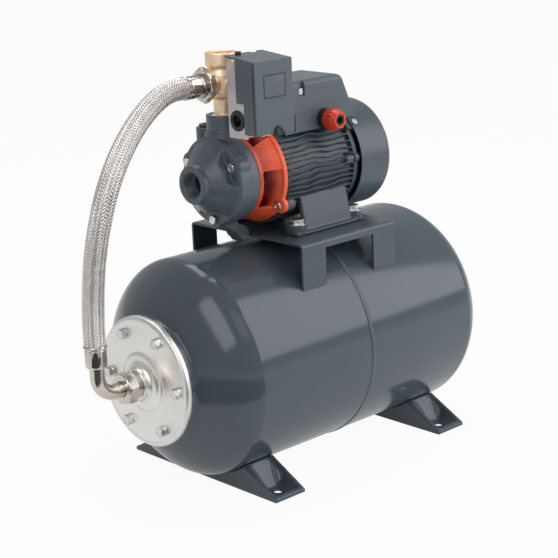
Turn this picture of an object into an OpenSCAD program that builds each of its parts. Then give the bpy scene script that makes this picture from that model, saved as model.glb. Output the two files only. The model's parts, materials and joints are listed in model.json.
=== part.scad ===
// Booster pump set: a peripheral pump on a horizontal bladder tank.
// X runs along the tank and the pump shaft, with the inlet and the tank flange
// at -X. Z is up. The origin is the centre of the four floor bolt holes.

/* [Tank] */
// Outside diameter of the tank
tank_d = 260; // [240:1:280]
// Length of one straight half of the tank, seam to head
tank_half_straight = 174; // [150:1:200]
// Depth of a domed head
head_depth = 72; // [60:1:80]
// Thickness of the tank shell
shell_t = 2; // [1.5:0.5:3]
// Gap under the belly of the tank
belly_gap = 9.4; // [8:0.2:14]
// Width of the weld seam around the middle
seam_w = 6; // [4:1:10]
// Height of the weld seam over the shell
seam_h = 1; // [0.5:0.1:2]
// Radius of the mouth that the bladder goes in by
mouth_r = 45; // [40:1:48]
// Thickness of the bladder wall
bladder_t = 3; // [2:0.5:4]

/* [Tank flange] */
// Outside radius of the flange
flange_r = 76.7; // [74:0.1:82]
// Thickness of the flange plate
flange_t = 3; // [2:0.5:4]
// Bolt circle diameter of the flange
flange_pcd = 120; // [116:1:126]
// Number of flange bolts
flange_bolt_count = 6; // [4:1:8]

/* [Feet] */
// Distance between the two feet along the tank
foot_spacing = 282; // [250:2:320]
// Width of a foot along the tank
foot_w = 47; // [40:1:60]
// Length of a foot across the tank
foot_len = 255; // [240:1:270]
// Distance across the tank between the floor bolt holes
foot_hole_spacing = 212; // [206:1:216]
// Radius of a floor bolt hole
foot_hole_r = 4.5; // [3:0.5:5.5]
// Thickness of the foot's sheet
foot_t = 2.5; // [2:0.5:3]

/* [Pump platform] */
// Length of the platform along the tank
platform_len = 156; // [140:1:180]
// Width of the platform across the tank
platform_w = 194; // [170:1:200]
// Thickness of the platform's sheet
platform_t = 3; // [2:0.5:4]
// Height of the platform's top over the top of the tank
platform_rise = 11.6; // [8:0.2:20]
// Length of the opening between the platform's legs
platform_gap_len = 80; // [60:1:100]

/* [Motor] */
// Height of the shaft over the platform
shaft_height = 71; // [71:1:80]
// Distance between the foot holes along the shaft
motor_hole_x = 93; // [88:1:100]
// Distance between the foot holes across the shaft
motor_hole_y = 114; // [112:1:120]
// Radius of a motor foot hole
motor_hole_r = 4.5; // [4.2:0.1:5]
// Radius of the frame under the fins
frame_r = 56; // [55:0.5:58]
// Height of a fin over the frame
fin_h = 5.5; // [4:0.5:6]
// Thickness of a fin
fin_t = 2.2; // [1.6:0.2:3]
// Angle between two fins
fin_pitch = 8.5; // [7:0.5:12]
// Radius of the shaft
shaft_r = 7.5; // [6:0.5:8]
// Air gap between rotor and stator
air_gap = 0.4; // [0.3:0.1:0.8]
// Height of the fan cover over the fins
fan_cover_rise = 4.2; // [4:0.1:6]
// Wall of the fan cover
fan_cover_t = 1.6; // [1.2:0.2:2.4]
// Number of fan blades
blade_count = 8; // [5:1:12]

/* [Pump end] */
// Radius of the casing drum
drum_r = 51; // [49:0.5:54]
// Radius of the inlet neck at its mouth
inlet_neck_r = 22.5; // [20:0.5:24]
// Bore radius of the one inch threaded ports
port_bore_r = 15.15; // [14:0.05:16]
// Depth of the threaded ports
port_depth = 14; // [12:1:15]
// Radius of the outlet collar
outlet_collar_r = 21; // [20:0.5:24]
// Radius of the impeller
impeller_r = 33.5; // [30:0.5:33.5]
// Number of impeller vanes
vane_count = 36; // [24:2:44]
// Height of the lantern's rear flange over the frame
lantern_flange_rise = 2.6; // [1.5:0.1:4]

/* [Pipework] */
// Radius of the five-way fitting's body
fitting_body_r = 17; // [16:0.5:19]
// Radius of the fitting's narrow neck
fitting_neck_r = 11.5; // [10:0.5:13]
// Radius of the fitting's top port
fitting_top_r = 18.7; // [18:0.1:21]
// Radius of the braided hose
hose_r = 12.5; // [11:0.5:14]
// Radius of the elbow pipe
elbow_r = 8.5; // [7:0.5:9.5]
// Bend radius of the elbow pipe
elbow_bend = 22; // [18:1:26]
// Width across flats of the union nuts
union_af = 36; // [34:1:40]

/* [Pressure switch] */
// Width of the switch along the shaft
switch_w = 56; // [50:1:64]
// Height of the switch cover
switch_h = 81; // [76:1:90]
// Depth of the switch cover in front of its base
switch_cover_depth = 32; // [28:1:40]
// Radius of the cable entry
entry_r = 10; // [8:0.5:10.5]

/* [Terminal box] */
// Width of the terminal box across the shaft
box_w = 70; // [64:1:76]
// Height of the box's top over the shaft
box_top = 105; // [98:1:115]
// Wall of the terminal box
box_t = 2.4; // [2:0.2:3]

/* [Hidden] */

$fn = 64;
eps = 0.01;
// Radial clearance of a close fit, and the gap of a seated loose piece
fit = 0.03;
seat_gap = 0.3;

// Colours
slate = "#4a545d";
dark_slate = "#39424a";
orange = "#e8552d";
zinc = "#cfccc4";
steel = "#9a9ea3";
nickel = "#c9bfb4";
brass = "#cfa86b";
black = "#1d1f22";

// Tank
tank_r = tank_d / 2;
tank_z = tank_r + belly_gap;
tank_end_x = tank_half_straight + head_depth;
head_power = 2 / 1.65;
head_steps = 14;
mouth_ring_t = 7;
mouth_ring_x = -(tank_end_x - 8);
mouth_ring_r = flange_r - 3.4;
flange_back_x = mouth_ring_x - bladder_t;
flange_face_x = flange_back_x - flange_t;
flange_bolt_r = 4;
flange_bolt_head_h = 5.5;
hub_face_x = flange_face_x - 12;
hub_r = 24;
nipple_thread_r = 13.2;
valve_boss_r = 9;
valve_boss_len = 7;
valve_r = 4;
valve_pin_r = 1.2;
valve_cap_r = 6.5;
valve_cap_len = 14;
valve_cap_wall = 1.6;
tank_boss_x = tank_end_x - 1.5;
valve_tip_x = tank_boss_x + valve_boss_len + 14;

// Feet
foot_x = foot_spacing / 2;
foot_tip_h = 4.2;
foot_rim_y = 74;
foot_tray_w = foot_w - 9;
foot_tray_y = 96;
foot_tray_tip = foot_len / 2 - 6;

// Platform and the pump's frame
platform_top = tank_z + tank_r + platform_rise;
pump_z = platform_top + shaft_height;
lug_t = 12.4;
lug_r = 10;
motor_bolt_r = 4;
washer_r = 10;
washer_t = 1.6;
nut_h = 6.5;
bolt_head_h = 5.3;

// Stations along the pump shaft
casing_rear_x = -96.8;
casing_front_x = -126;
inlet_x = -156.8;
lantern_rear_x = -59.7;
frame_rear_x = 48;
shield_rear_x = 56;
fan_cover_front_x = 56.3;
fan_cover_rear_x = 106.8;
outlet_x = -102;
outlet_top = 75;

// Impeller chamber
chamber_r = impeller_r + 0.5;
chamber_front_x = -107;
impeller_x = -106.5;
impeller_t = 8.5;
gasket_in = chamber_r + 0.8;
gasket_out = gasket_in + 3.4;
gasket_t = 2;
casing_bolt_r = 3;
casing_bolt_head_h = 4;
casing_ear_r = 11.5;
seal_bore_r = 14;
seal_head_r = 12.5;
seal_face_x = -87;

// Bearings, 15 mm bore, 35 mm outside, 11 mm wide
bearing_or = 17.5;
bearing_w = 11;
ball_r = 3;
ball_circle = 12.5;
ball_count = 8;
front_bearing_x = -76;
rear_bearing_x = 45;

// Radii that follow the motor frame
fin_r = frame_r + fin_h;
fan_cover_r = fin_r + fan_cover_rise;
lantern_flange_r = frame_r + lantern_flange_rise;
stator_r = frame_r - 3.8;
rotor_r = frame_r / 2;

// Stator
stator_x0 = -30;
stator_x1 = 26;
lantern_ear_circle = frame_r + 2.5;
lantern_ear_r = 9.5;
lantern_ear_angles = [90, 215, 325];
shield_bolt_circle = frame_r + 0.5;
shield_ear_r = 7;
shield_bolt_angles = [5, 175, 230, 310];
frame_bolt_r = 3;
frame_bolt_len = 19;

// Terminal box
box_y0 = -42;
box_y1 = box_y0 + box_w;
box_x0 = -46;
box_x1 = 49;
gland_x = 18;
gland_z = 56;
gland_r = 8;
gland_nut_r = 12.8;
screw_pocket_x = -17;
screw_r = 2;

// Five-way fitting, on the outlet's axis, heights over the shaft
fitting_z = pump_z;
neck_top = 96;
fitting_side_z = 111;
body_top = 133;
fitting_top = 146;
side_port_r = 13.2;
side_port_x = -133;
small_port_r = 8;
small_port_len = 7;
hose_nut_x0 = -122;
hose_nut_x1 = -136;
ferrule_x1 = -160;
ferrule_af = 27;
ferrule_z0 = 174;
ferrule_z1 = 199;
elbow_x = -307;

// Pressure switch
switch_back_y = -41;
switch_x0 = outlet_x - 29;
switch_z0 = 62;
switch_front_y = -90;
sheet_t = 2;
lever_z = 130;
lever_y = -47;
spring_z = 96;
small_spring_z = 82;
diaphragm_r = 20;

// The hose's centre line, bowed to -Y so that the suction pipe can pass
hose_route = [[-160, 0, 463], [-172, 0, 463], [-185, -0.5, 461], [-198, -2, 456.8],
    [-211.5, -4.8, 451], [-225.5, -8.6, 444], [-239.5, -13.2, 436],
    [-253, -18, 427], [-265.5, -22.6, 417.3], [-276.8, -26.6, 407],
    [-286.8, -30, 396], [-295.3, -32.3, 384.3], [-302, -33, 371.8],
    [-306.8, -32.2, 358], [-309.8, -30, 343.6], [-311.5, -26.4, 328.8],
    [-312, -22, 313.4], [-311.4, -16.8, 297.5], [-310.2, -11.6, 280.2],
    [-308.8, -6.8, 263.4], [-307.6, -3, 246], [-307.1, -0.9, 230.5],
    [-307, 0, 215], [-307, 0, 199]];

// A point on a domed head at angle a, as [radius, x]
function head_point(a, r, straight, depth) =
    [r * pow(sin(a), head_power), straight + depth * pow(cos(a), head_power)];
// The head's outline from radius angle a0 to the straight part
function head_curve(a0, r, straight, depth) =
    [for (i = [0 : head_steps])
        head_point(a0 + (90 - a0) * i / head_steps, r, straight, depth)];
function backwards(points) = [for (i = [len(points) - 1 : -1 : 0]) points[i]];
function unit(v) = v / norm(v);
// Direction of a route at point i
function heading(route, i) =
    unit(route[min(i + 1, len(route) - 1)] - route[max(i - 1, 0)]);
// Ring of points around a 3-D route, upright directions given by side
function ring(centre, along, side, r, n) =
    let (across = unit(cross(along, side)), other = cross(along, across))
    [for (k = [0 : n - 1])
        centre + r * (cos(360 * k / n) * across + sin(360 * k / n) * other)];
function ring_faces(rings, n) =
    concat([[for (k = [0 : n - 1]) k]],
        [for (i = [0 : rings - 2], k = [0 : n - 1])
            let (a = i * n, b = (k + 1) % n)
            [a + b, a + k, a + n + k, a + n + b]],
        [[for (k = [n - 1 : -1 : 0]) (rings - 1) * n + k]]);

// A round bar swept along a list of 3-D points
module sweep(route, r, n, side) {
    points = [for (i = [0 : len(route) - 1])
        each ring(route[i], heading(route, i), side, r, n)];
    polyhedron(points, ring_faces(len(route), n), convexity = 6);
}

// Turns Z into X, for bars and rings on the shaft's direction
module along_x(x = 0) {
    translate([x, 0, 0]) rotate([0, 90, 0]) children();
}

module along_y(y = 0) {
    translate([0, y, 0]) rotate([-90, 0, 0]) children();
}

// A ring or disc from x0 to x1
module ring_x(x0, x1, outer, inner = 0) {
    along_x(x0) difference() {
        cylinder(h = x1 - x0, r = outer);
        if (inner > 0) translate([0, 0, -eps]) cylinder(h = x1 - x0 + 2 * eps, r = inner);
    }
}

// A turned shape from [radius, x] points
module turned_x(points) {
    rotate([0, 90, 0]) rotate_extrude($fn = 96) polygon(points);
}

module hexagon(af, h) {
    cylinder(h = h, r = af / sqrt(3), $fn = 6);
}

// A hexagon head bolt that points to -Z, with its head seated at z = 0
module hex_bolt(r, af, head_h, len) {
    hexagon(af, head_h);
    translate([0, 0, -len]) cylinder(h = len + eps, r = r, $fn = 32);
}

module at_pump() {
    translate([0, 0, pump_z]) children();
}

module at_tank() {
    translate([0, 0, tank_z]) children();
}

module box(x, y, z) {
    translate([x[0], y[0], z[0]]) cube([x[1] - x[0], y[1] - y[0], z[1] - z[0]]);
}

// Places children at polar positions in the YZ plane, 0 degrees at +Y
module polar_yz(r, angles) {
    for (a = angles)
        translate([0, r * cos(a), r * sin(a)]) children();
}

module polar_turned(angles) {
    for (a = angles) rotate([a, 0, 0]) children();
}

// Domed half shell that ends at the head's angle a0
module half_shell(a0) {
    outer = head_curve(a0, tank_r, tank_half_straight, head_depth);
    inner = head_curve(a0, tank_r - shell_t, tank_half_straight, head_depth - shell_t);
    polygon(concat(outer, [[tank_r, 0], [tank_r - shell_t, 0]], backwards(inner)));
}

flange_angles = [for (i = [0 : flange_bolt_count - 1]) i * 360 / flange_bolt_count];
mouth_head_angle = 32;

module tank_flange_half() {
    color(slate) at_tank() difference() {
        union() {
            rotate([0, 90, 0]) rotate_extrude($fn = 96)
                mirror([0, 1]) half_shell(mouth_head_angle);
            ring_x(mouth_ring_x, mouth_ring_x + mouth_ring_t, mouth_ring_r, mouth_r);
        }
        polar_yz(flange_pcd / 2, flange_angles)
            along_x(mouth_ring_x - eps)
                cylinder(h = mouth_ring_t + 6, r = flange_bolt_r + fit, $fn = 32);
    }
}

module tank_valve_half() {
    color(slate) at_tank() difference() {
        union() {
            rotate([0, 90, 0]) rotate_extrude($fn = 96) half_shell(0.5);
            turned_x([[tank_r, -seam_w / 2], [tank_r + seam_h, 1 - seam_w / 2],
                [tank_r + seam_h, seam_w / 2 - 1], [tank_r, seam_w / 2],
                [tank_r - shell_t / 2, seam_w / 2], [tank_r - shell_t / 2, 0], [tank_r, 0]]);
            ring_x(tank_end_x - 5, tank_boss_x + valve_boss_len, valve_boss_r);
        }
        along_x(tank_end_x - 10) cylinder(h = 40, r = valve_r + fit, $fn = 32);
    }
}

bladder_gap = 8;
bladder_r = tank_r - shell_t - bladder_gap;
bladder_lip_r = mouth_r + 9;
bladder_neck_r = mouth_r - 0.5;

module tank_bladder() {
    tail = head_curve(1, bladder_r, tank_half_straight - 30, head_depth - 10);
    tail_in = head_curve(1, bladder_r - bladder_t, tank_half_straight - 30,
        head_depth - 10 - bladder_t);
    shoulder_x = -(tank_half_straight + 20);
    neck_end_x = mouth_ring_x + mouth_ring_t + 6;
    color(black) at_tank() turned_x(concat(
        [[bladder_lip_r, flange_back_x], [bladder_lip_r, mouth_ring_x],
            [bladder_neck_r, mouth_ring_x], [bladder_neck_r, neck_end_x],
            [bladder_r - 26, shoulder_x], [bladder_r - 6, shoulder_x + 22],
            [bladder_r, shoulder_x + 46]],
        backwards(tail), [[0, tail[0][1]], [0, tail_in[0][1]]], tail_in,
        [[bladder_r - bladder_t, shoulder_x + 46 + bladder_t],
            [bladder_r - 6 - bladder_t, shoulder_x + 24],
            [bladder_r - 26 - bladder_t, shoulder_x + bladder_t],
            [bladder_neck_r - bladder_t, neck_end_x + bladder_t],
            [bladder_neck_r - bladder_t, flange_back_x]]));
}

module tank_flange() {
    color(zinc) at_tank() difference() {
        turned_x([[nipple_thread_r + fit, hub_face_x], [hub_r - 4, hub_face_x],
            [hub_r, hub_face_x + 3], [hub_r + 1, flange_face_x - 7],
            [flange_pcd / 2 - 18, flange_face_x], [flange_r - 3, flange_face_x],
            [flange_r - 1, flange_face_x + 0.8], [flange_r, flange_face_x + 2.6],
            [flange_r, flange_back_x + 5], [mouth_ring_r + 0.6, flange_back_x + 5],
            [mouth_ring_r + 0.6, flange_back_x], [flange_pcd / 2 - 20, flange_back_x],
            [hub_r, flange_face_x - 3], [nipple_thread_r + fit, flange_face_x - 3]]);
        polar_yz(flange_pcd / 2, flange_angles)
            along_x(flange_face_x - 1)
                cylinder(h = 10, r = flange_bolt_r + 0.4, $fn = 32);
    }
}

module flange_bolts() {
    color(zinc) at_tank() polar_yz(flange_pcd / 2, flange_angles)
        along_x(flange_face_x) rotate([180, 0, 0]) union() {
            translate([0, 0, 1.2]) hex_bolt(flange_bolt_r, 13, flange_bolt_head_h, 13);
            cylinder(h = 1.2 + eps, r = 8.2);
        }
}

module air_valve_body() {
    color(brass) at_tank() difference() {
        union() {
            ring_x(tank_end_x - 9, valve_tip_x, valve_r);
            ring_x(tank_boss_x + valve_boss_len, tank_boss_x + valve_boss_len + 2, 6);
        }
        ring_x(tank_end_x - 10, valve_tip_x + 1, valve_pin_r + 0.6);
    }
}

module air_valve_pin() {
    color(steel) at_tank() union() {
        ring_x(tank_end_x - 8, valve_tip_x - 0.5, valve_pin_r);
        ring_x(tank_end_x + 2, tank_end_x + 6, valve_pin_r + 0.55);
    }
}

module air_valve_cap() {
    cap_x0 = valve_tip_x - 9;
    color(black) at_tank() turned_x([[valve_r + 0.05, cap_x0],
        [valve_cap_r, cap_x0], [valve_cap_r, cap_x0 + valve_cap_len - 2],
        [valve_cap_r - 1.5, cap_x0 + valve_cap_len], [0, cap_x0 + valve_cap_len],
        [0, cap_x0 + valve_cap_len - valve_cap_wall],
        [valve_r + 0.05, cap_x0 + valve_cap_len - valve_cap_wall]]);
}

// Outline of a foot from the side: tip, sloping rim, and the seat's height
foot_rim_z = tank_z - sqrt(pow(tank_r, 2) - pow(foot_rim_y, 2));
foot_slope_t = foot_t * norm([foot_tray_y - foot_rim_y, foot_rim_z]) / foot_rim_z;

module across_tank(x, w) {
    translate([x - w / 2, 0, 0]) rotate([90, 0, 90]) linear_extrude(w) children();
}

module foot(x) {
    half = foot_len / 2;
    inner_y = foot_rim_y - foot_slope_t;
    inner_base = foot_tray_y - foot_slope_t;
    difference() {
        across_tank(x, foot_w)
            polygon([[-half, 0], [-half, foot_tip_h], [-foot_rim_y, foot_rim_z],
                [foot_rim_y, foot_rim_z], [half, foot_tip_h], [half, 0]]);
        at_tank() ring_x(x - foot_w, x + foot_w, tank_r);
        difference() {
            across_tank(x, foot_w - 2 * foot_t)
                polygon([[-inner_base, -1], [-inner_y, foot_rim_z], [inner_y, foot_rim_z],
                    [inner_base, -1]]);
            at_tank() ring_x(x - foot_w, x + foot_w, tank_r + foot_t);
        }
        for (side = [-1, 1]) scale([1, side, 1]) {
            across_tank(x, foot_tray_w)
                polygon([[foot_rim_y, foot_rim_z + 1], [foot_rim_y, foot_rim_z],
                    [foot_tray_y, foot_t], [foot_tray_tip, foot_t],
                    [foot_tray_tip + 2, foot_rim_z + 1]]);
            translate([x, foot_hole_spacing / 2, -1]) cylinder(h = 10, r = foot_hole_r);
        }
    }
}

module foot_flange_end() {
    color(slate) foot(-foot_x);
}

module foot_valve_end() {
    color(slate) foot(foot_x);
}

motor_holes = [for (x = [-1, 1], y = [-1, 1]) [x * motor_hole_x / 2, y * motor_hole_y / 2]];

module at_motor_holes(z) {
    for (p = motor_holes) translate([p[0], p[1], z]) children();
}

platform_bend = 5;
platform_leg_z = 220;
platform_gap_drop = 10;
platform_x = -1;

module platform_channel(grow) {
    w = platform_w / 2 - grow;
    bend = platform_bend - grow;
    top = platform_top - grow;
    x0 = -platform_len / 2 - (grow > 0 ? 1 : 0);
    x1 = -x0;
    box([x0, x1], [-w, w], [platform_leg_z - (grow > 0 ? 1 : 0), top - bend]);
    box([x0, x1], [-w + bend, w - bend], [top - bend - 1, top]);
    for (side = [-1, 1]) translate([0, side * (w - bend), top - bend]) ring_x(x0, x1, bend);
}

module pump_platform() {
    color(slate) difference() {
        translate([platform_x, 0, 0]) difference() {
            platform_channel(0);
            platform_channel(platform_t);
            box([-platform_gap_len / 2, platform_gap_len / 2], [-platform_w, platform_w],
                [platform_leg_z - 1, platform_top - platform_gap_drop]);
        }
        at_tank() ring_x(-platform_len, platform_len, tank_r);
        at_motor_holes(platform_top - 10) cylinder(h = 20, r = motor_hole_r);
    }
}

motor_bolt_seat = platform_top + lug_t + washer_t;
motor_bolt_len = lug_t + washer_t + platform_t + nut_h + 2.5;

module motor_bolts() {
    color(zinc) at_motor_holes(motor_bolt_seat)
        hex_bolt(motor_bolt_r, 13, bolt_head_h, motor_bolt_len);
}

module motor_washers() {
    color(zinc) at_motor_holes(platform_top + lug_t) difference() {
        cylinder(h = washer_t, r = washer_r);
        translate([0, 0, -1]) cylinder(h = 4, r = motor_bolt_r + 0.2);
    }
}

module motor_nuts() {
    color(zinc) at_motor_holes(platform_top - platform_t - nut_h) difference() {
        hexagon(13, nut_h);
        translate([0, 0, -1]) cylinder(h = nut_h + 2, r = motor_bolt_r + fit);
    }
}

// Pump end, in the shaft's own heights
casing_bolt_places = [[38.6, 17.6], [-37.8, 19.8], [-1.6, -45.4]];
ear_depth = 17;
collar_step_r = outlet_collar_r + 2.5;
collar_step_z = 55;
boss_r = 13;
boss_y = 31;
boss_top = 57;
plug_r = 8;
plug_head_h = 3;
plug_socket_af = 8;
lug_clear_r = drum_r + 3.6;
plug_depth = 12;
lug_half = 10;
drain_x = -88.5;
drain_z = -68;
drain_r = 4.2;
drain_depth = 14;
chamfer = 1.5;

module port(depth) {
    translate([0, 0, -depth]) cylinder(h = depth + eps, r = port_bore_r);
    translate([0, 0, -chamfer]) cylinder(h = chamfer + eps, r1 = port_bore_r,
        r2 = port_bore_r + chamfer);
}

module at_casing_bolts() {
    for (p = casing_bolt_places) translate([0, p[0], p[1]]) children();
}

module casing_passages() {
    throat_r = 11;
    throat_end = -116;
    duct_r = 4;
    along_x(inlet_x + 4) cylinder(h = throat_end - inlet_x - 4, r = throat_r);
    box([throat_end - 3, chamber_front_x + 1], [-16, -3], [-6, impeller_r - 3]);
    box([chamber_front_x, casing_rear_x - 3.5], [3, 15], [20, outlet_top - port_depth + 1]);
    translate([chamber_front_x + duct_r, 24, 20]) cylinder(h = 28, r = duct_r);
    translate([-102.5, -7, -62]) cylinder(h = 32, r = 2.5);
    translate([0, -7, -62]) ring_x(-102.5, drain_x, 2);
}

module pump_casing() {
    color(slate) at_pump() difference() {
        union() {
            turned_x([[0, inlet_x], [inlet_neck_r - 0.8, inlet_x],
                [inlet_neck_r, inlet_x + 0.8], [inlet_neck_r, inlet_x + 7],
                [inlet_neck_r + 6, inlet_x + 13], [inlet_neck_r + 12, inlet_x + 21],
                [inlet_neck_r + 16, casing_front_x - 3], [inlet_neck_r + 17, casing_front_x],
                [drum_r - 1.5, casing_front_x], [drum_r, casing_front_x + 1.5],
                [drum_r, casing_rear_x], [0, casing_rear_x]]);
            at_casing_bolts() ring_x(casing_front_x, casing_front_x + ear_depth, casing_ear_r);
            translate([outlet_x, 0, drum_r - 12]) {
                cylinder(h = outlet_top - drum_r + 12, r = outlet_collar_r);
                cylinder(h = collar_step_z - drum_r + 12, r = collar_step_r);
            }
            translate([outlet_x, boss_y, 30]) cylinder(h = boss_top - 30, r = boss_r);
            translate([0, lug_half, 0]) rotate([90, 0, 0]) linear_extrude(2 * lug_half)
                polygon([[-118, -44], [-97.5, -44], [-97.5, -53.5], [-84, -60], [-80, -66],
                    [-80, drain_z - lug_half], [-91, drain_z - lug_half], [-100, -66],
                    [-118, -54]]);
        }
        along_x(inlet_x) rotate([180, 0, 0]) port(port_depth);
        translate([outlet_x, 0, outlet_top]) port(port_depth);
        casing_passages();
        ring_x(chamber_front_x, casing_rear_x + 1, chamber_r);
        ring_x(casing_rear_x - gasket_t, casing_rear_x + 1, gasket_out, gasket_in);
        ring_x(casing_rear_x, lantern_back_start, lug_clear_r);
        at_casing_bolts() {
            ring_x(casing_front_x - 20, casing_front_x, 8);
            ring_x(casing_front_x - 1, casing_rear_x + 1, casing_bolt_r + 0.2);
        }
        translate([outlet_x, boss_y, boss_top - plug_depth - 2])
            cylinder(h = plug_depth + 3, r = plug_r + fit);
        translate([drain_x, lug_half + eps - drain_depth - 5, drain_z])
            along_y() cylinder(h = drain_depth + 5, r = drain_r + fit);
    }
}

module casing_bolts() {
    color(zinc) at_pump() at_casing_bolts() along_x(casing_front_x) rotate([180, 0, 0])
        hex_bolt(casing_bolt_r, 10, casing_bolt_head_h, 35);
}

module casing_gasket() {
    color(black) at_pump() ring_x(casing_rear_x - gasket_t + 0.1, casing_rear_x,
        gasket_out - 0.1, gasket_in + 0.1);
}

module priming_plug() {
    color(dark_slate) at_pump() translate([outlet_x, boss_y, boss_top]) difference() {
        union() {
            translate([0, 0, -plug_depth]) cylinder(h = plug_depth, r = plug_r);
            cylinder(h = plug_head_h, r = plug_r + 1.5);
        }
        translate([0, 0, -plug_head_h]) hexagon(plug_socket_af, 3 * plug_head_h);
    }
}

module drain_plug() {
    color(zinc) at_pump() translate([drain_x, lug_half, drain_z]) rotate([-90, 0, 0]) {
        translate([0, 0, -drain_depth]) cylinder(h = drain_depth, r = drain_r);
        hexagon(11, 5);
    }
}

impeller_bore = shaft_r - 1.5;

module impeller() {
    vane_t = 1.2;
    vane_root = impeller_r - 7;
    color(brass) at_pump() difference() {
        union() {
            ring_x(impeller_x, impeller_x + impeller_t, vane_root);
            ring_x(impeller_x + 3.5, impeller_x + impeller_t - 3.5, impeller_r - 1);
            polar_turned([for (i = [0 : vane_count - 1]) i * 360 / vane_count])
                box([impeller_x, impeller_x + impeller_t], [-vane_t / 2, vane_t / 2],
                    [vane_root - 1, impeller_r - 0.1]);
        }
        ring_x(impeller_x - 1, impeller_x + impeller_t + 1, impeller_bore + fit);
    }
}

lantern_hub_r = 20;
lantern_hub_end = -80;
lantern_front_x = casing_rear_x;
lantern_disc_end = -90;
lantern_back_start = -66;
bearing_lip_r = 12;
bearing_hub_r = 24;

module seal_seat() {
    color(steel) at_pump() ring_x(seal_face_x, lantern_hub_end - 2, seal_bore_r - fit,
        shaft_r + 1.2);
}

module seal_head() {
    color(black) at_pump() ring_x(impeller_x + impeller_t + 0.1, seal_face_x - 0.1,
        seal_head_r, shaft_r + fit);
}

window_low = -33;
window_high = 10;
crown_half = 34;

module lantern_bracket() {
    web_r = drum_r - 0.6;
    web_rear_r = lantern_flange_r - 1;
    web_t = 8;
    color(orange) at_pump() difference() {
        union() {
            ring_x(lantern_front_x, lantern_disc_end, web_r);
            ring_x(lantern_disc_end, lantern_hub_end, lantern_hub_r);
            difference() {
                turned_x([[web_r - web_t, lantern_disc_end - 1], [web_r, lantern_disc_end - 1],
                    [web_rear_r, lantern_back_start + 1],
                    [web_rear_r - web_t, lantern_back_start + 1]]);
                box([lantern_disc_end, lantern_back_start], [-60, 60],
                    [window_low, window_high]);
                box([lantern_disc_end, lantern_back_start], [-crown_half, crown_half],
                    [20, 60]);
            }
            ring_x(lantern_back_start, lantern_rear_x, lantern_flange_r);
            ring_x(front_bearing_x - 2, lantern_rear_x, bearing_hub_r);
            polar_yz(lantern_ear_circle, lantern_ear_angles)
                ring_x(lantern_back_start, lantern_rear_x, lantern_ear_r);
        }
        ring_x(lantern_front_x - 1, lantern_hub_end - 2, seal_bore_r);
        ring_x(lantern_hub_end - 3, lantern_hub_end + 1, shaft_r + 1.5);
        ring_x(front_bearing_x, lantern_rear_x + 1, bearing_or);
        ring_x(front_bearing_x - 3, front_bearing_x + 1, bearing_lip_r);
        at_casing_bolts() ring_x(lantern_front_x - 1, lantern_disc_end + 1, casing_bolt_r + fit);
        polar_yz(lantern_ear_circle, lantern_ear_angles) {
            ring_x(lantern_back_start - 1, lantern_rear_x + 1, frame_bolt_r + 0.2);
            ring_x(lantern_back_start - 12, lantern_back_start, 6.8);
        }
    }
}

shield_plate_end = 54;

module frame_bolts() {
    color(zinc) at_pump() {
        polar_yz(lantern_ear_circle, lantern_ear_angles) along_x(lantern_back_start)
            rotate([180, 0, 0]) hex_bolt(frame_bolt_r, 10, 4, frame_bolt_len);
        polar_yz(shield_bolt_circle, shield_bolt_angles)
            along_x(shield_plate_end) hex_bolt(frame_bolt_r, 10, 4, frame_bolt_len);
    }
}

// Motor
fin_gap_start = 57;
fin_gap_end = 138;
fin_angles = [for (a = [fin_gap_end : fin_pitch : 360 + fin_gap_start - fin_pitch / 2]) a];
saddle_x0 = box_x0 + 4;
saddle_x1 = 44;
saddle_y0 = box_y0 + 12;
saddle_y1 = box_y1 - 12;
saddle_z = frame_r + 2;
foot_web_y = 47;
foot_web_t = 7;
foot_web_x = 38;
foot_web_top = -26;
foot_plate_t = 4;

// One cast foot: a plate on the platform, a leaning wall and two bosses
module motor_foot() {
    floor_z = -shaft_height;
    plate_x = motor_hole_x / 2 + lug_r;
    plate_y = motor_hole_y / 2 + lug_r;
    box([-plate_x, plate_x], [foot_web_y, plate_y], [floor_z, floor_z + foot_plate_t]);
    across_tank(0, 2 * foot_web_x)
        polygon([[foot_web_y, foot_web_top], [foot_web_y + foot_web_t, foot_web_top],
            [plate_y - 3, floor_z], [plate_y - 3 - foot_web_t, floor_z]]);
    for (x = [-1, 1]) {
        translate([x * motor_hole_x / 2, motor_hole_y / 2, floor_z])
            cylinder(h = lug_t, r = lug_r);
        box([x * motor_hole_x / 2 - lug_r, x * motor_hole_x / 2 + lug_r],
            [foot_web_y, motor_hole_y / 2], [floor_z, floor_z + lug_t]);
    }
}

module motor_frame() {
    color(slate) at_pump() difference() {
        union() {
            ring_x(lantern_rear_x, frame_rear_x, frame_r);
            polar_turned(fin_angles)
                box([lantern_rear_x + 1, frame_rear_x - 1], [0, fin_r - 0.1],
                    [-fin_t / 2, fin_t / 2]);
            box([saddle_x0, saddle_x1], [saddle_y0, saddle_y1], [30, saddle_z]);
            motor_foot();
            scale([1, -1, 1]) motor_foot();
            polar_yz(lantern_ear_circle, lantern_ear_angles)
                ring_x(lantern_rear_x, lantern_rear_x + 13, lantern_ear_r - 1);
            polar_yz(shield_bolt_circle, shield_bolt_angles)
                ring_x(frame_rear_x - 13, frame_rear_x, shield_ear_r);
        }
        ring_x(lantern_rear_x - 1, frame_rear_x + 1, stator_r + fit);
        at_motor_holes(-shaft_height - 1) cylinder(h = lug_t + 2, r = motor_hole_r);
        at_motor_holes(lug_t - shaft_height) cylinder(h = 14, r = washer_r + 0.4);
        polar_yz(lantern_ear_circle, lantern_ear_angles)
            ring_x(lantern_rear_x - 1, lantern_rear_x + 13.5, frame_bolt_r + fit);
        polar_yz(shield_bolt_circle, shield_bolt_angles)
            ring_x(frame_rear_x - 13.5, frame_rear_x + 1, frame_bolt_r + fit);
    }
}

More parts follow.
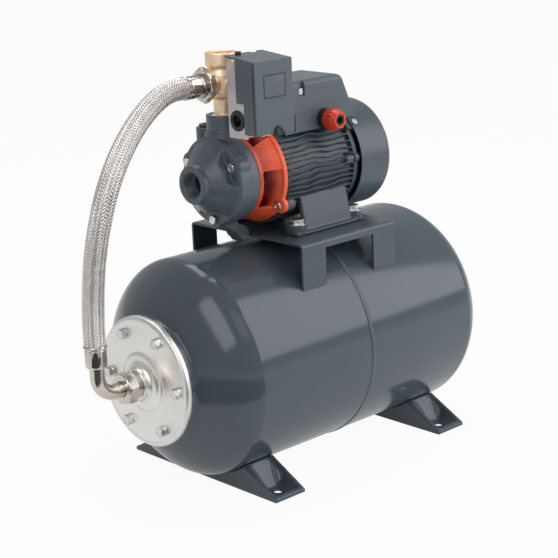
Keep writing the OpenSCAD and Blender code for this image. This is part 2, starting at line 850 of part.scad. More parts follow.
slot_count = 24;
slot_w = 4;
slot_r0 = rotor_r + air_gap + 3.5;
slot_r1 = stator_r - 8;
slot_angles = [for (i = [0 : slot_count - 1]) i * 360 / slot_count];
coil_overhang = 12;

module stator_core() {
    color(steel) at_pump() difference() {
        ring_x(stator_x0, stator_x1, stator_r, rotor_r + air_gap);
        polar_turned(slot_angles)
            box([stator_x0 - 1, stator_x1 + 1], [slot_r0, slot_r1], [-slot_w / 2, slot_w / 2]);
    }
}

module stator_winding() {
    wire_r0 = slot_r0 + 0.2;
    wire_r1 = slot_r1 - 0.2;
    half = slot_w / 2 - 0.2;
    color("#8c4a24") at_pump() {
        ring_x(stator_x0 - coil_overhang, stator_x0 - 0.3, wire_r1 + 2, wire_r0);
        ring_x(stator_x1 + 0.3, stator_x1 + coil_overhang, wire_r1 + 2, wire_r0);
        polar_turned(slot_angles)
            box([stator_x0 - 1, stator_x1 + 1], [wire_r0 + 0.5, wire_r1], [-half, half]);
    }
}

module rotor_core() {
    color(steel) at_pump() {
        ring_x(stator_x0, stator_x1, rotor_r, shaft_r + fit);
        ring_x(stator_x0 - 6, stator_x0, rotor_r - 2, rotor_r - 9);
        ring_x(stator_x1, stator_x1 + 6, rotor_r - 2, rotor_r - 9);
    }
}

fan_x = 76;
shaft_end_x = 94;

module motor_shaft() {
    step_x = impeller_x + impeller_t;
    color(steel) at_pump() turned_x([[0, impeller_x + 0.2],
        [impeller_bore, impeller_x + 0.2], [impeller_bore, step_x], [shaft_r, step_x],
        [shaft_r, shaft_end_x - 1], [shaft_r - 1, shaft_end_x], [0, shaft_end_x]]);
}

bearing_starts = [front_bearing_x, rear_bearing_x];
race_r = ball_r + 0.06;
race_gap = 1.7;

module race(x) {
    rotate([0, 90, 0]) rotate_extrude($fn = 96)
        translate([ball_circle, x + bearing_w / 2]) circle(r = race_r, $fn = 32);
}

module bearing_outer_rings() {
    color(steel) at_pump() for (x = bearing_starts) difference() {
        ring_x(x, x + bearing_w, bearing_or - fit, ball_circle + race_gap);
        race(x);
    }
}

module bearing_inner_rings() {
    color(steel) at_pump() for (x = bearing_starts) difference() {
        ring_x(x, x + bearing_w, ball_circle - race_gap, shaft_r + fit);
        race(x);
    }
}

module bearing_balls() {
    color(zinc) at_pump() for (x = bearing_starts)
        polar_yz(ball_circle, [for (i = [0 : ball_count - 1]) i * 360 / ball_count])
            translate([x + bearing_w / 2, 0, 0]) sphere(r = ball_r, $fn = 24);
}

cover_lug_angles = [43, 137, 270];
cover_lug_end = 73;
cover_screw_x = 62;
cover_inner_r = fan_cover_r - fan_cover_t;

module rear_end_shield() {
    lug_in = fin_r - 5.5;
    color(slate) at_pump() difference() {
        union() {
            ring_x(frame_rear_x, shield_plate_end, fin_r - 1);
            ring_x(frame_rear_x - 5, frame_rear_x + 1, stator_r - fit, stator_r - 4);
            ring_x(rear_bearing_x - 3, shield_rear_x + 2, bearing_hub_r - 1);
            polar_turned(cover_lug_angles)
                box([frame_rear_x + 1, cover_lug_end], [lug_in, cover_inner_r - 0.5], [-6, 6]);
            polar_yz(shield_bolt_circle, shield_bolt_angles)
                ring_x(frame_rear_x, shield_plate_end, shield_ear_r - 0.2);
        }
        ring_x(rear_bearing_x - 4, shield_rear_x, bearing_or);
        ring_x(shield_rear_x - 1, shield_rear_x + 3, shaft_r + 1.5);
        polar_turned(cover_lug_angles) translate([cover_screw_x, lug_in - 1, 0])
            along_y() cylinder(h = 12, r = screw_r + fit);
        polar_yz(shield_bolt_circle, shield_bolt_angles)
            ring_x(frame_rear_x - 1, shield_plate_end + 1, frame_bolt_r + 0.2);
    }
}

module cooling_fan() {
    blade_end = 92;
    blade_r = 55;
    hub = shaft_r + 6;
    color(dark_slate) at_pump() {
        ring_x(fan_x - 1, blade_end - 2, hub, shaft_r + fit);
        ring_x(fan_x, fan_x + 2, blade_r, shaft_r + 3);
        polar_turned([for (i = [0 : blade_count - 1]) i * 360 / blade_count])
            box([fan_x + 1, blade_end], [hub - 1, blade_r], [-0.8, 0.8]);
    }
}

grille_count = 24;

module fan_cover() {
    edge = 4;
    color(slate) at_pump() difference() {
        turned_x([[cover_inner_r, fan_cover_front_x], [fan_cover_r, fan_cover_front_x],
            [fan_cover_r, fan_cover_rear_x - edge],
            [fan_cover_r - edge * 0.3, fan_cover_rear_x - edge * 0.3],
            [fan_cover_r - edge, fan_cover_rear_x], [0, fan_cover_rear_x],
            [0, fan_cover_rear_x - fan_cover_t],
            [cover_inner_r - edge, fan_cover_rear_x - fan_cover_t],
            [cover_inner_r, fan_cover_rear_x - edge]]);
        polar_turned([for (i = [0 : grille_count - 1]) i * 360 / grille_count])
            box([fan_cover_rear_x - 5, fan_cover_rear_x + 1], [18, cover_inner_r - 10], [-1.8, 1.8]);
        polar_turned(cover_lug_angles) translate([cover_screw_x, fan_cover_r - 5, 0])
            along_y() cylinder(h = 10, r = screw_r + 0.2);
    }
}

box_round = 7;
box_shoulder = 12;
post_w = 8;
post_screw_z = box_top - 13;
base_z1 = saddle_z + 3;
rear_screw_x = 30;

module cover_screws() {
    color(zinc) at_pump() {
        polar_turned(cover_lug_angles) translate([cover_screw_x, fan_cover_r, 0])
            rotate([-90, 0, 0]) {
                cylinder(h = 2, r = 3.8);
                translate([0, 0, -7]) cylinder(h = 7 + eps, r = screw_r);
            }
        translate([screw_pocket_x, box_y0 + pocket_depth, post_screw_z]) rotate([90, 0, 0]) {
            cylinder(h = 2.2, r = 3.8);
            translate([0, 0, -8]) cylinder(h = 8 + eps, r = screw_r);
        }
        translate([rear_screw_x, box_y1, post_screw_z]) rotate([-90, 0, 0]) {
            cylinder(h = 2.2, r = 3.8);
            translate([0, 0, -8]) cylinder(h = 8 + eps, r = screw_r);
        }
    }
}

module terminal_base() {
    y0 = saddle_y0;
    y1 = box_y1 - box_t - seat_gap;
    color(slate) at_pump() difference() {
        union() {
            box([box_x0 + box_t + seat_gap, saddle_x1], [y0, y1], [saddle_z, base_z1]);
            box([screw_pocket_x - post_w / 2, screw_pocket_x + post_w / 2],
                [box_y0 + pocket_depth + box_t, y0 + 6],
                [base_z1 + 4, post_screw_z + post_w / 2]);
            box([screw_pocket_x - post_w / 2, screw_pocket_x + post_w / 2],
                [y0, y0 + 6], [base_z1 - 1, base_z1 + 5]);
            box([rear_screw_x - post_w / 2, rear_screw_x + post_w / 2], [y1 - 8, y1],
                [base_z1 - 1, post_screw_z + post_w / 2]);
        }
        translate([screw_pocket_x, y0 + 7, post_screw_z]) rotate([90, 0, 0])
            cylinder(h = 20, r = screw_r + fit);
        translate([rear_screw_x, y1 + 1, post_screw_z]) rotate([90, 0, 0])
            cylinder(h = 12, r = screw_r + fit);
        box([-2, 12], [y0 + 10, y0 + 22], [saddle_z - 1, base_z1 + 1]);
    }
}

pocket_depth = 4;
pocket_w = 9;

// Outline of the terminal box along the shaft, shrunk by the wall
module box_side(shrink) {
    slope = box_shoulder / 30;
    foot_x1 = box_x1 + (box_top - 45) * slope;
    polygon([[box_x0 + shrink, 30], [box_x0 + shrink, box_top - shrink],
        [box_x1 - 5 - shrink, box_top - shrink], [box_x1 - 1 - shrink, box_top - 2 - shrink],
        [foot_x1 - shrink, 45], [foot_x1 - shrink, 30]]);
}

// Outline of the terminal box across the shaft
module box_face(shrink) {
    bend = box_round - shrink;
    y0 = box_y0 + shrink;
    y1 = box_y1 - shrink;
    top = box_top - shrink;
    translate([y0, 30]) square([y1 - y0, top - bend - 30]);
    translate([y0 + bend, 30]) square([y1 - y0 - 2 * bend, top - 30]);
    for (y = [y0 + bend, y1 - bend]) translate([y, top - bend]) circle(r = bend);
}

module box_solid(shrink) {
    intersection() {
        translate([0, box_y1 + 5, 0]) rotate([90, 0, 0]) linear_extrude(box_w + 10)
            box_side(shrink);
        translate([box_x0 - 5, 0, 0]) rotate([90, 0, 90]) linear_extrude(box_x1 - box_x0 + 50)
            box_face(shrink);
    }
}

module terminal_cover() {
    color(slate) at_pump() difference() {
        union() {
            difference() {
                box_solid(0);
                box_solid(box_t);
            }
            intersection() {
                box_solid(0);
                box([screw_pocket_x - pocket_w / 2 - box_t, screw_pocket_x + pocket_w / 2 + box_t],
                    [box_y0, box_y0 + pocket_depth + box_t],
                    [post_screw_z - pocket_w / 2 - box_t, box_top]);
            }
            box([-30, 5], [box_y0 - 1, box_y0 + 1], [46.5, 67.5]);
        }
        box([screw_pocket_x - pocket_w / 2, screw_pocket_x + pocket_w / 2],
            [box_y0 - 5, box_y0 + pocket_depth], [post_screw_z - pocket_w / 2, box_top + 1]);
        ring_x(box_x0 - 1, frame_rear_x + 0.5, frame_r + 0.6);
        ring_x(frame_rear_x, box_x1 + 60, fan_cover_r + 0.6);
        box([box_x0 - 1, box_x1 + 60], [-60, 60], [0, 45]);
        translate([screw_pocket_x, box_y0 + 10, post_screw_z]) rotate([90, 0, 0])
            cylinder(h = 12, r = screw_r + 0.2);
        translate([rear_screw_x, box_y1 + 1, post_screw_z]) rotate([90, 0, 0])
            cylinder(h = 5, r = screw_r + 0.2);
        translate([gland_x, box_y0 - 1, gland_z]) along_y()
            cylinder(h = box_t + 2, r = gland_r + fit);
    }
}

capacitor_r = 15;

module run_capacitor() {
    color("#b9bcc0") at_pump() translate([0, 4, base_z1 + seat_gap + capacitor_r]) {
        ring_x(-40, 14, capacitor_r);
        ring_x(14 - eps, 16, capacitor_r - 4);
    }
}

module terminal_block() {
    color("#2a2c30") at_pump() difference() {
        box([24, 42], [-16, 8], [base_z1, base_z1 + 14]);
        for (y = [-12 : 6 : 6])
            translate([33, y, base_z1 + 5]) cylinder(h = 12, r = 1.8);
    }
}

gland_flange_y = box_y0 - 8;
gland_tip_y = box_y0 - 27;
gland_bore_r = 6.5;

module gland_body() {
    color(dark_slate) at_pump() translate([gland_x, 0, gland_z]) difference() {
        union() {
            translate([0, box_y0 + 8, 0]) rotate([90, 0, 0]) cylinder(h = 8, r = gland_r);
            translate([0, box_y0, 0]) rotate([90, 0, 0])
                cylinder(h = box_y0 - gland_flange_y, r = gland_nut_r - 0.6);
            translate([0, gland_flange_y, 0]) rotate([90, 0, 0])
                cylinder(h = 12, r = gland_r + 1);
        }
        translate([0, box_y0 + 9, 0]) rotate([90, 0, 0]) cylinder(h = 60, r = gland_bore_r);
    }
}

module gland_nut() {
    thread_r = gland_r + 1 + fit;
    color(orange) at_pump() translate([gland_x, 0, gland_z]) rotate([90, 0, 0])
        rotate_extrude($fn = 64) polygon([[thread_r, -gland_flange_y],
            [gland_nut_r, -gland_flange_y], [gland_nut_r, -gland_flange_y + 10],
            [gland_nut_r - 1, -gland_flange_y + 14], [gland_nut_r - 3.5, -gland_flange_y + 17.5],
            [gland_nut_r - 5, -gland_tip_y], [gland_bore_r, -gland_tip_y],
            [gland_bore_r, -gland_flange_y + 12.3], [thread_r, -gland_flange_y + 12.3]]);
}

module gland_seal() {
    color(black) at_pump() translate([gland_x, gland_flange_y + 4, gland_z])
        rotate([90, 0, 0]) difference() {
            cylinder(h = 21.5, r = gland_bore_r - fit);
            translate([0, 0, -1]) cylinder(h = 24, r = 4.15);
        }
}

// Pipework on the outlet
module on_outlet() {
    translate([outlet_x, 0, fitting_z]) children();
}

switch_port_r = 10;
switch_thread_r = 6.5;
switch_port_y = -21;
fluid_r = 8;
body_foot = neck_top + 3;

module five_way_fitting() {
    color(brass) on_outlet() difference() {
        union() {
            rotate_extrude($fn = 64) polygon([[0, outlet_top - port_depth + 1],
                [port_bore_r - fit, outlet_top - port_depth + 1],
                [port_bore_r - fit, outlet_top - 1], [fitting_neck_r, outlet_top],
                [fitting_neck_r, neck_top - 1], [fitting_body_r - 1, body_foot],
                [fitting_body_r, body_foot + 1.5], [fitting_body_r, body_top - 4],
                [fitting_top_r - 0.3, body_top - 2], [fitting_top_r, body_top],
                [fitting_top_r, fitting_top - 1], [fitting_top_r - 1, fitting_top],
                [0, fitting_top]]);
            translate([0, 0, fitting_side_z]) {
                rotate([0, -90, 0]) cylinder(h = outlet_x - side_port_x, r = side_port_r);
                rotate([90, 0, 0]) cylinder(h = -switch_port_y, r = switch_port_r);
                rotate([0, 90, 0]) cylinder(h = fitting_body_r + small_port_len,
                    r = small_port_r);
            }
        }
        translate([0, 0, fitting_top]) port(port_depth);
        translate([0, 0, outlet_top - port_depth]) cylinder(h = 70, r = fluid_r);
        translate([0, 0, fitting_side_z]) {
            rotate([0, -90, 0]) cylinder(h = 40, r = fluid_r);
            rotate([90, 0, 0]) cylinder(h = 40, r = switch_thread_r + fit);
            rotate([0, 90, 0]) cylinder(h = 40, r = small_port_r - 2.5 + fit);
        }
    }
}

module port_plug() {
    color(nickel) on_outlet() translate([fitting_body_r + small_port_len, 0, fitting_side_z])
        rotate([0, 90, 0]) {
            translate([0, 0, -9]) cylinder(h = 9 + eps, r = small_port_r - 2.5);
            hexagon(14, 5);
        }
}

hose_z = pump_z + fitting_side_z;

module hose_nut() {
    color(nickel) translate([0, 0, hose_z]) difference() {
        along_x(hose_nut_x1) rotate([0, 0, 30]) hexagon(union_af, hose_nut_x0 - hose_nut_x1);
        ring_x(hose_nut_x1 - 1, hose_nut_x0 + 1, side_port_r + fit);
    }
}

tail_r = elbow_r - 2;

module hose_ferrules() {
    color(nickel) {
        translate([0, 0, hose_z]) difference() {
            union() {
                along_x(ferrule_x1) rotate([0, 0, 30])
                    hexagon(ferrule_af, hose_nut_x1 - ferrule_x1);
                ring_x(hose_nut_x1 - eps, side_port_x, side_port_r - 0.2);
            }
            ring_x(ferrule_x1 - 1, hose_nut_x0, tail_r);
        }
        translate([elbow_x, 0, ferrule_z0]) difference() {
            hexagon(ferrule_af, ferrule_z1 - ferrule_z0);
            translate([0, 0, -1]) cylinder(h = 40, r = tail_r);
        }
    }
}

module braided_hose() {
    color("#a9a9ac") sweep(hose_route, hose_r, 12, [0, 1, 0]);
}

union_x0 = hub_face_x - 20;
union_x1 = hub_face_x - 2;
union_wall = 6;

// A quarter of a ring pipe that joins the elbow's two legs
module elbow_bend_pipe(r) {
    intersection() {
        translate([elbow_x + elbow_bend, 0, tank_z + elbow_bend]) rotate([90, 0, 0])
            rotate_extrude($fn = 64) translate([elbow_bend, 0]) circle(r = r, $fn = 48);
        box([elbow_x - 20, elbow_x + elbow_bend], [-20, 20], [tank_z - 20, tank_z + elbow_bend]);
    }
}

module elbow_pipe() {
    bend_z = tank_z + elbow_bend;
    bend_x = elbow_x + elbow_bend;
    collar_x = union_x0 + union_wall;
    color(nickel) difference() {
        union() {
            translate([elbow_x, 0, bend_z]) cylinder(h = ferrule_z0 - bend_z, r = elbow_r);
            elbow_bend_pipe(elbow_r);
            at_tank() ring_x(bend_x, collar_x + 4, elbow_r);
            at_tank() ring_x(collar_x + 0.1, collar_x + 4, nipple_thread_r - 0.3);
        }
        translate([elbow_x, 0, bend_z]) cylinder(h = 60, r = tail_r);
        elbow_bend_pipe(tail_r);
        at_tank() ring_x(bend_x, collar_x + 5, tail_r);
    }
}

module union_nut() {
    color(nickel) at_tank() difference() {
        along_x(union_x0) hexagon(union_af, union_x1 - union_x0);
        ring_x(union_x0 - 1, union_x0 + union_wall + 1, elbow_r + fit);
        ring_x(union_x0 + union_wall, union_x1 + 1, nipple_thread_r + fit);
    }
}

module flange_nipple() {
    color(nickel) at_tank() ring_x(union_x0 + union_wall + 4.2, hub_face_x + 8.5,
        nipple_thread_r, tail_r);
}

// Pressure switch, in the shaft's own heights
switch_bottom = 56;
switch_step_z = 96;
base_x1 = switch_x0 + switch_w - 5;
base_top = 140;
cheek_upper_y = -58;
cheek_lower_y = -70;
bottom_sheet_y = -62;
entry_y = -56;
entry_z = 76;
post_z = 64;
stud_x = outlet_x;
stud_tip_y = -78;
stud_r = 2;

module cheek(x) {
    box([x, x + sheet_t], [cheek_upper_y, switch_back_y], [switch_step_z - 1, base_top]);
    box([x, x + sheet_t], [cheek_lower_y, switch_back_y], [switch_bottom, switch_step_z]);
}

module switch_base() {
    color("#b7b1b3") at_pump() difference() {
        union() {
            box([switch_x0, base_x1], [switch_back_y - sheet_t, switch_back_y],
                [switch_bottom, base_top]);
            box([switch_x0, base_x1], [bottom_sheet_y, switch_back_y],
                [switch_bottom, switch_bottom + sheet_t]);
            box([stud_x - 6, stud_x + 6], [cheek_lower_y, bottom_sheet_y + 1],
                [switch_bottom, switch_bottom + sheet_t]);
            box([switch_x0, base_x1], [-52, switch_back_y], [base_top - sheet_t, base_top]);
            cheek(switch_x0);
            cheek(base_x1 - sheet_t);
            box([stud_x - 6, stud_x + 6], [cheek_lower_y, cheek_lower_y + 3],
                [switch_bottom, post_z + 6]);
            for (z = [spring_z, small_spring_z])
                translate([stud_x, switch_back_y - 1, z]) rotate([90, 0, 0])
                    cylinder(h = switch_back_y - 1 - stud_tip_y, r = stud_r);
            for (x = [-1, 1])
                box([stud_x + x * 11 - 1, stud_x + x * 11 + 1], [lever_y - 3, switch_back_y - 1],
                    [lever_z - 3, lever_z + 3]);
        }
        translate([outlet_x, switch_back_y - 5, fitting_side_z]) along_y()
            cylinder(h = 10, r = 4);
        for (x = [switch_x0, base_x1 - sheet_t])
            translate([x - 1, entry_y, entry_z]) rotate([0, 90, 0])
                cylinder(h = sheet_t + 2, r = entry_r + fit);
        translate([stud_x, cheek_lower_y - 1, post_z]) along_y()
            cylinder(h = 6, r = screw_r + fit);
        translate([-118, -47, base_top - 5]) cylinder(h = 10, r = screw_r + fit);
        translate([stud_x - 14, lever_y, lever_z]) rotate([0, 90, 0])
            cylinder(h = 28, r = 1 + fit);
    }
}

cover_x0 = switch_x0 - 3;
cover_x1 = cover_x0 + switch_w + 0.4;
cover_z1 = switch_z0 + switch_h;
cover_rise = 5;
lip_y = switch_front_y + switch_cover_depth + 16;
label_line = 1.2;
label_x = [-121.5, -88];
label_z = [101.5, 127.5];
notch_x = -92;
notch_r = 5.5;

module switch_side() {
    rear_y = switch_front_y + switch_cover_depth;
    polygon([[switch_front_y, switch_z0], [switch_front_y, cover_z1],
        [lip_y, cover_z1 + cover_rise], [lip_y, cover_z1 + cover_rise - sheet_t],
        [rear_y, cover_z1 + cover_rise - sheet_t - 1.8], [rear_y, switch_step_z],
        [cheek_lower_y, switch_step_z], [cheek_lower_y, switch_z0]]);
}

module switch_hollow() {
    y = switch_front_y + sheet_t;
    polygon([[y, switch_z0 + sheet_t], [y, cover_z1 - sheet_t + 0.2],
        [lip_y + 2, cover_z1 + cover_rise - sheet_t + 0.2], [lip_y + 2, switch_z0 + sheet_t]]);
}

module switch_cover() {
    color(slate) at_pump() difference() {
        translate([cover_x0, 0, 0]) rotate([90, 0, 90]) linear_extrude(cover_x1 - cover_x0)
            switch_side();
        translate([cover_x0 + sheet_t, 0, 0]) rotate([90, 0, 90])
            linear_extrude(cover_x1 - cover_x0 - 2 * sheet_t) switch_hollow();
        translate([notch_x, lip_y, cover_z1 - 5]) cylinder(h = 20, r = notch_r);
        translate([-118, -47, cover_z1 - 5]) cylinder(h = 20, r = screw_r + 0.2);
        translate([stud_x, switch_front_y - 1, post_z]) along_y()
            cylinder(h = 5, r = screw_r + 0.2);
        box([stud_x - 3, stud_x + 3], [switch_front_y + sheet_t, cheek_lower_y + 4],
            [switch_z0 - 1, post_z + 1]);
        difference() {
            box([label_x[0], label_x[1]], [switch_front_y - 1, switch_front_y + 0.6],
                [label_z[0], label_z[1]]);
            box([label_x[0] + label_line, label_x[1] - label_line],
                [switch_front_y - 2, switch_front_y + 2],
                [label_z[0] + label_line, label_z[1] - label_line]);
        }
    }
}

module switch_cover_screws() {
    top_seat = cover_z1 + cover_rise;
    color(dark_slate) at_pump() {
        translate([stud_x, switch_front_y, post_z]) rotate([90, 0, 0]) {
            cylinder(h = 3, r = 5.5);
            translate([0, 0, -(cheek_lower_y + 3 - switch_front_y)])
                cylinder(h = cheek_lower_y + 3 - switch_front_y + eps, r = screw_r);
        }
        translate([-118, -47, top_seat]) {
            cylinder(h = 3, r = 3.6);
            translate([0, 0, base_top - 3 - top_seat])
                cylinder(h = top_seat - base_top + 3 + eps, r = screw_r);
        }
    }
}

module grommet(x, out) {
    translate([x, entry_y, entry_z]) rotate([0, 90, 0]) difference() {
        union() {
            translate([0, 0, -0.5]) cylinder(h = sheet_t + 1, r = entry_r);
            translate([0, 0, out > 0 ? sheet_t : -1.4]) cylinder(h = 1.4, r = entry_r + 1.6);
        }
        translate([0, 0, -3]) cylinder(h = sheet_t + 6, r = entry_r - 3.5);
    }
}

module switch_grommets() {
    color(black) at_pump() {
        grommet(switch_x0, -1);
        grommet(base_x1 - sheet_t, 1);
    }
}

diaphragm_front_y = switch_back_y;
diaphragm_back_y = -33;
plunger_r = 3;

module switch_diaphragm() {
    color(nickel) at_pump() translate([outlet_x, 0, fitting_side_z]) difference() {
        union() {
            translate([0, diaphragm_back_y, 0]) rotate([90, 0, 0])
                cylinder(h = diaphragm_back_y - diaphragm_front_y, r = diaphragm_r);
            translate([0, switch_port_y, 0]) rotate([90, 0, 0])
                hexagon(20, switch_port_y - diaphragm_back_y + 1);
            translate([0, switch_port_y + 5, 0]) rotate([90, 0, 0])
                cylinder(h = 8, r = switch_thread_r);
        }
        translate([0, 0, 0]) rotate([90, 0, 0]) cylinder(h = 60, r = plunger_r + 0.05);
    }
}

module switch_plunger() {
    color(brass) at_pump() translate([outlet_x, -26, fitting_side_z]) rotate([90, 0, 0])
        cylinder(h = -26 - lever_y - 1.2, r = plunger_r);
}

lever_half = 9;
lever_low = 77;

module switch_lever() {
    color(steel) at_pump() difference() {
        union() {
            box([stud_x - lever_half, stud_x + lever_half], [lever_y - 1, lever_y + 1],
                [lever_low, lever_z]);
            translate([stud_x - 13, lever_y, lever_z]) rotate([0, 90, 0])
                cylinder(h = 26, r = 1);
            translate([stud_x - lever_half, lever_y, lever_z]) rotate([0, 90, 0])
                cylinder(h = 2 * lever_half, r = 2);
        }
        for (z = [spring_z, small_spring_z])
            translate([stud_x, lever_y - 5, z]) along_y() cylinder(h = 10, r = stud_r + 1);
    }
}

// Points of a spring's wire that winds forward along -Y
function coil(y0, y1, r, turns, z) =
    [for (i = [0 : turns * 12])
        [stud_x + r * cos(i * 30), y0 + (y1 - y0) * i / (turns * 12), z + r * sin(i * 30)]];

module switch_springs() {
    color(zinc) at_pump() {
        sweep(coil(lever_y - 4.5, -68, 5, 6, spring_z), 0.9, 6, [0, 1, 0]);
        sweep(coil(lever_y - 4.5, -66, 4, 6, small_spring_z), 0.7, 6, [0, 1, 0]);
        for (z = [spring_z, small_spring_z]) translate([stud_x, 0, z]) difference() {
            translate([0, z == spring_z ? -69.3 : -67.1, 0]) rotate([90, 0, 0]) hexagon(9, 4);
            rotate([90, 0, 0]) cylinder(h = 100, r = stud_r + fit);
        }
    }
}

module contact_block() {
    color(black) at_pump() difference() {
        box([stud_x - 18, stud_x + 18], [-66, switch_back_y - sheet_t - 0.1],
            [switch_bottom + sheet_t, 73]);
        for (x = [-12 : 8 : 12])
            translate([stud_x + x, -61, 62]) cylinder(h = 20, r = 2);
    }
}

tank_flange_half();
tank_valve_half();
tank_bladder();
tank_flange();
flange_bolts();
air_valve_body();
air_valve_pin();
air_valve_cap();
foot_flange_end();
foot_valve_end();
pump_platform();
motor_bolts();
motor_washers();
motor_nuts();
pump_casing();
casing_bolts();
casing_gasket();
priming_plug();
drain_plug();
impeller();
seal_seat();
seal_head();
lantern_bracket();
frame_bolts();
motor_frame();
stator_core();
stator_winding();
rotor_core();
motor_shaft();
bearing_outer_rings();
bearing_inner_rings();
bearing_balls();
rear_end_shield();
cooling_fan();
fan_cover();
cover_screws();
terminal_base();
terminal_cover();
run_capacitor();
terminal_block();
gland_body();
gland_nut();
gland_seal();
five_way_fitting();
port_plug();
hose_nut();
hose_ferrules();
braided_hose();
elbow_pipe();
union_nut();
flange_nipple();
switch_base();
switch_cover();
switch_cover_screws();
switch_grommets();
switch_diaphragm();
switch_plunger();
switch_lever();
switch_springs();
contact_block();
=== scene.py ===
"""Looks of a booster pump set: a peripheral pump on a horizontal bladder tank."""

import json
import math

import bmesh
import bpy
import numpy as np
from mathutils import Matrix, Vector


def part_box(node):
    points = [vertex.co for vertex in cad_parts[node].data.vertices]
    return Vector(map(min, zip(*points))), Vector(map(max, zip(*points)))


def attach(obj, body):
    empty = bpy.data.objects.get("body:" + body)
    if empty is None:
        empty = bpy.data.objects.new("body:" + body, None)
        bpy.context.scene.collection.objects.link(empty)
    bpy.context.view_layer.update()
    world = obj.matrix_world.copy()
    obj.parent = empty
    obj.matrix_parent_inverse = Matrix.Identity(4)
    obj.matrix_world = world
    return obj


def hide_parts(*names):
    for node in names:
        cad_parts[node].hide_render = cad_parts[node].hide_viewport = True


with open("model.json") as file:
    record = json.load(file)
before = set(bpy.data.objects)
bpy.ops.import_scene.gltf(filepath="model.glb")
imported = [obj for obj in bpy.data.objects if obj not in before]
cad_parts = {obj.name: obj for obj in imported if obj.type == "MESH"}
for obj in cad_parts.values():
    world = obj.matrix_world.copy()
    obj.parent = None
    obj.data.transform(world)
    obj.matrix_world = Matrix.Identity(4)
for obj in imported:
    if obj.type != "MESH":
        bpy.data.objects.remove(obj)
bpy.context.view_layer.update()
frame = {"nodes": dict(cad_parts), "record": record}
MM = 0.001
TANK_Z = 139.4
PUMP_Z = 352.0
MILLIMETRES = Matrix.Scale(MM, 4)


# Camera, at the place and angle that the photograph was taken from
def set_camera():
    eye = Vector((-1278.65, -1345.03, 723.88)) * MM
    right = Vector((0.72368, -0.68895, -0.04044))
    up = Vector((0.21305, 0.16728, 0.96262))
    back = right.cross(up).normalized()
    up = back.cross(right).normalized()
    data = bpy.data.cameras.new("camera")
    data.sensor_width = 36.0
    data.lens = data.sensor_width * 1569.9 / 558.0  # focal length and width in pixels
    data.clip_start, data.clip_end = 0.05, 30.0
    camera = bpy.data.objects.new("camera", data)
    camera.matrix_world = Matrix(((right.x, up.x, back.x, eye.x), (right.y, up.y, back.y, eye.y),
                                  (right.z, up.z, back.z, eye.z), (0, 0, 0, 1)))
    bpy.context.scene.collection.objects.link(camera)
    bpy.context.scene.camera = camera


# Objects and their meshes
def add_object(name, mesh):
    made = bpy.data.objects.new(name, mesh)
    bpy.context.scene.collection.objects.link(made)
    return made


def finish_mesh(mesh, sharp_deg=35):
    """Smooth shading that stays crisp over edges sharper than the angle."""
    mesh.validate()
    mesh.polygons.foreach_set("use_smooth", [True] * len(mesh.polygons))
    mesh.set_sharp_from_angle(angle=math.radians(sharp_deg))
    mesh.update()
    return mesh


def dress(made, slot, *nodes, finish=None):
    """Gives a piece its finish, the slot's own unless one is given, puts it on its body and hides
    the CAD nodes it stands for.
    """
    made.data.materials.clear()
    made.data.materials.append(finish or FINISH[slot])
    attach(made, "pump_set")
    if nodes:
        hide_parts(*nodes)
    return made


def baked(made):
    """The object with its modifiers made part of its mesh."""
    bpy.context.view_layer.update()
    graph = bpy.context.evaluated_depsgraph_get()
    mesh = bpy.data.meshes.new_from_object(made.evaluated_get(graph))
    made.modifiers.clear()
    made.data = mesh
    return made


def joined(name, meshes):
    """One mesh out of several."""
    bm = bmesh.new()
    for mesh in meshes:
        bm.from_mesh(mesh)
    out = bpy.data.meshes.new(name)
    bm.to_mesh(out)
    bm.free()
    return out


def merged(name, objects):
    """One mesh out of several objects, which it takes away."""
    mesh = joined(name, [made.data for made in objects])
    for made in objects:
        bpy.data.objects.remove(made)
    return mesh


def whole_copy(node):
    """A CAD node's mesh with its loose triangles joined and its flat faces made whole."""
    mesh = frame["nodes"][node].data.copy()
    bm = bmesh.new()
    bm.from_mesh(mesh)
    bmesh.ops.remove_doubles(bm, verts=bm.verts, dist=2e-6)
    bmesh.ops.dissolve_limit(bm, angle_limit=math.radians(0.4), verts=bm.verts, edges=bm.edges)
    for layer in list(bm.loops.layers.uv):
        bm.loops.layers.uv.remove(layer)
    bm.to_mesh(mesh)
    bm.free()
    mesh.name = node
    return mesh


def eased(node, name, width, segments, finish=None):
    """A piece on its CAD node's own shape, with its edges rounded as on pressed or moulded ones."""
    angle = 32
    made = add_object(name, whole_copy(node))
    finish_mesh(made.data, angle)
    bevel = made.modifiers.new("edges", "BEVEL")
    bevel.width = width * MM
    bevel.segments = segments
    bevel.limit_method = "ANGLE"
    bevel.angle_limit = math.radians(angle)
    bevel.use_clamp_overlap = True
    piece(node, baked(made), finish)


def cast(name, meshes, grain, soft, cuts=()):
    """Closed shapes melted into one skin with the soft inner corners of a casting."""
    made = add_object(name, joined(name, meshes))
    melt = made.modifiers.new("melt", "REMESH")
    melt.mode, melt.voxel_size = "VOXEL", grain * MM
    tools = [add_object(f"{name}_cut_{k}", cut) for k, cut in enumerate(cuts)]
    for tool in tools:
        carve = made.modifiers.new("carve", "BOOLEAN")
        carve.operation, carve.solver, carve.object = "DIFFERENCE", "EXACT", tool
    if tools:
        again = made.modifiers.new("again", "REMESH")
        again.mode, again.voxel_size = "VOXEL", grain * MM
    ease = made.modifiers.new("ease", "SMOOTH")
    ease.factor, ease.iterations = 0.5, soft
    baked(made)
    for tool in tools:
        bpy.data.objects.remove(tool)
    finish_mesh(made.data, 60)
    return made


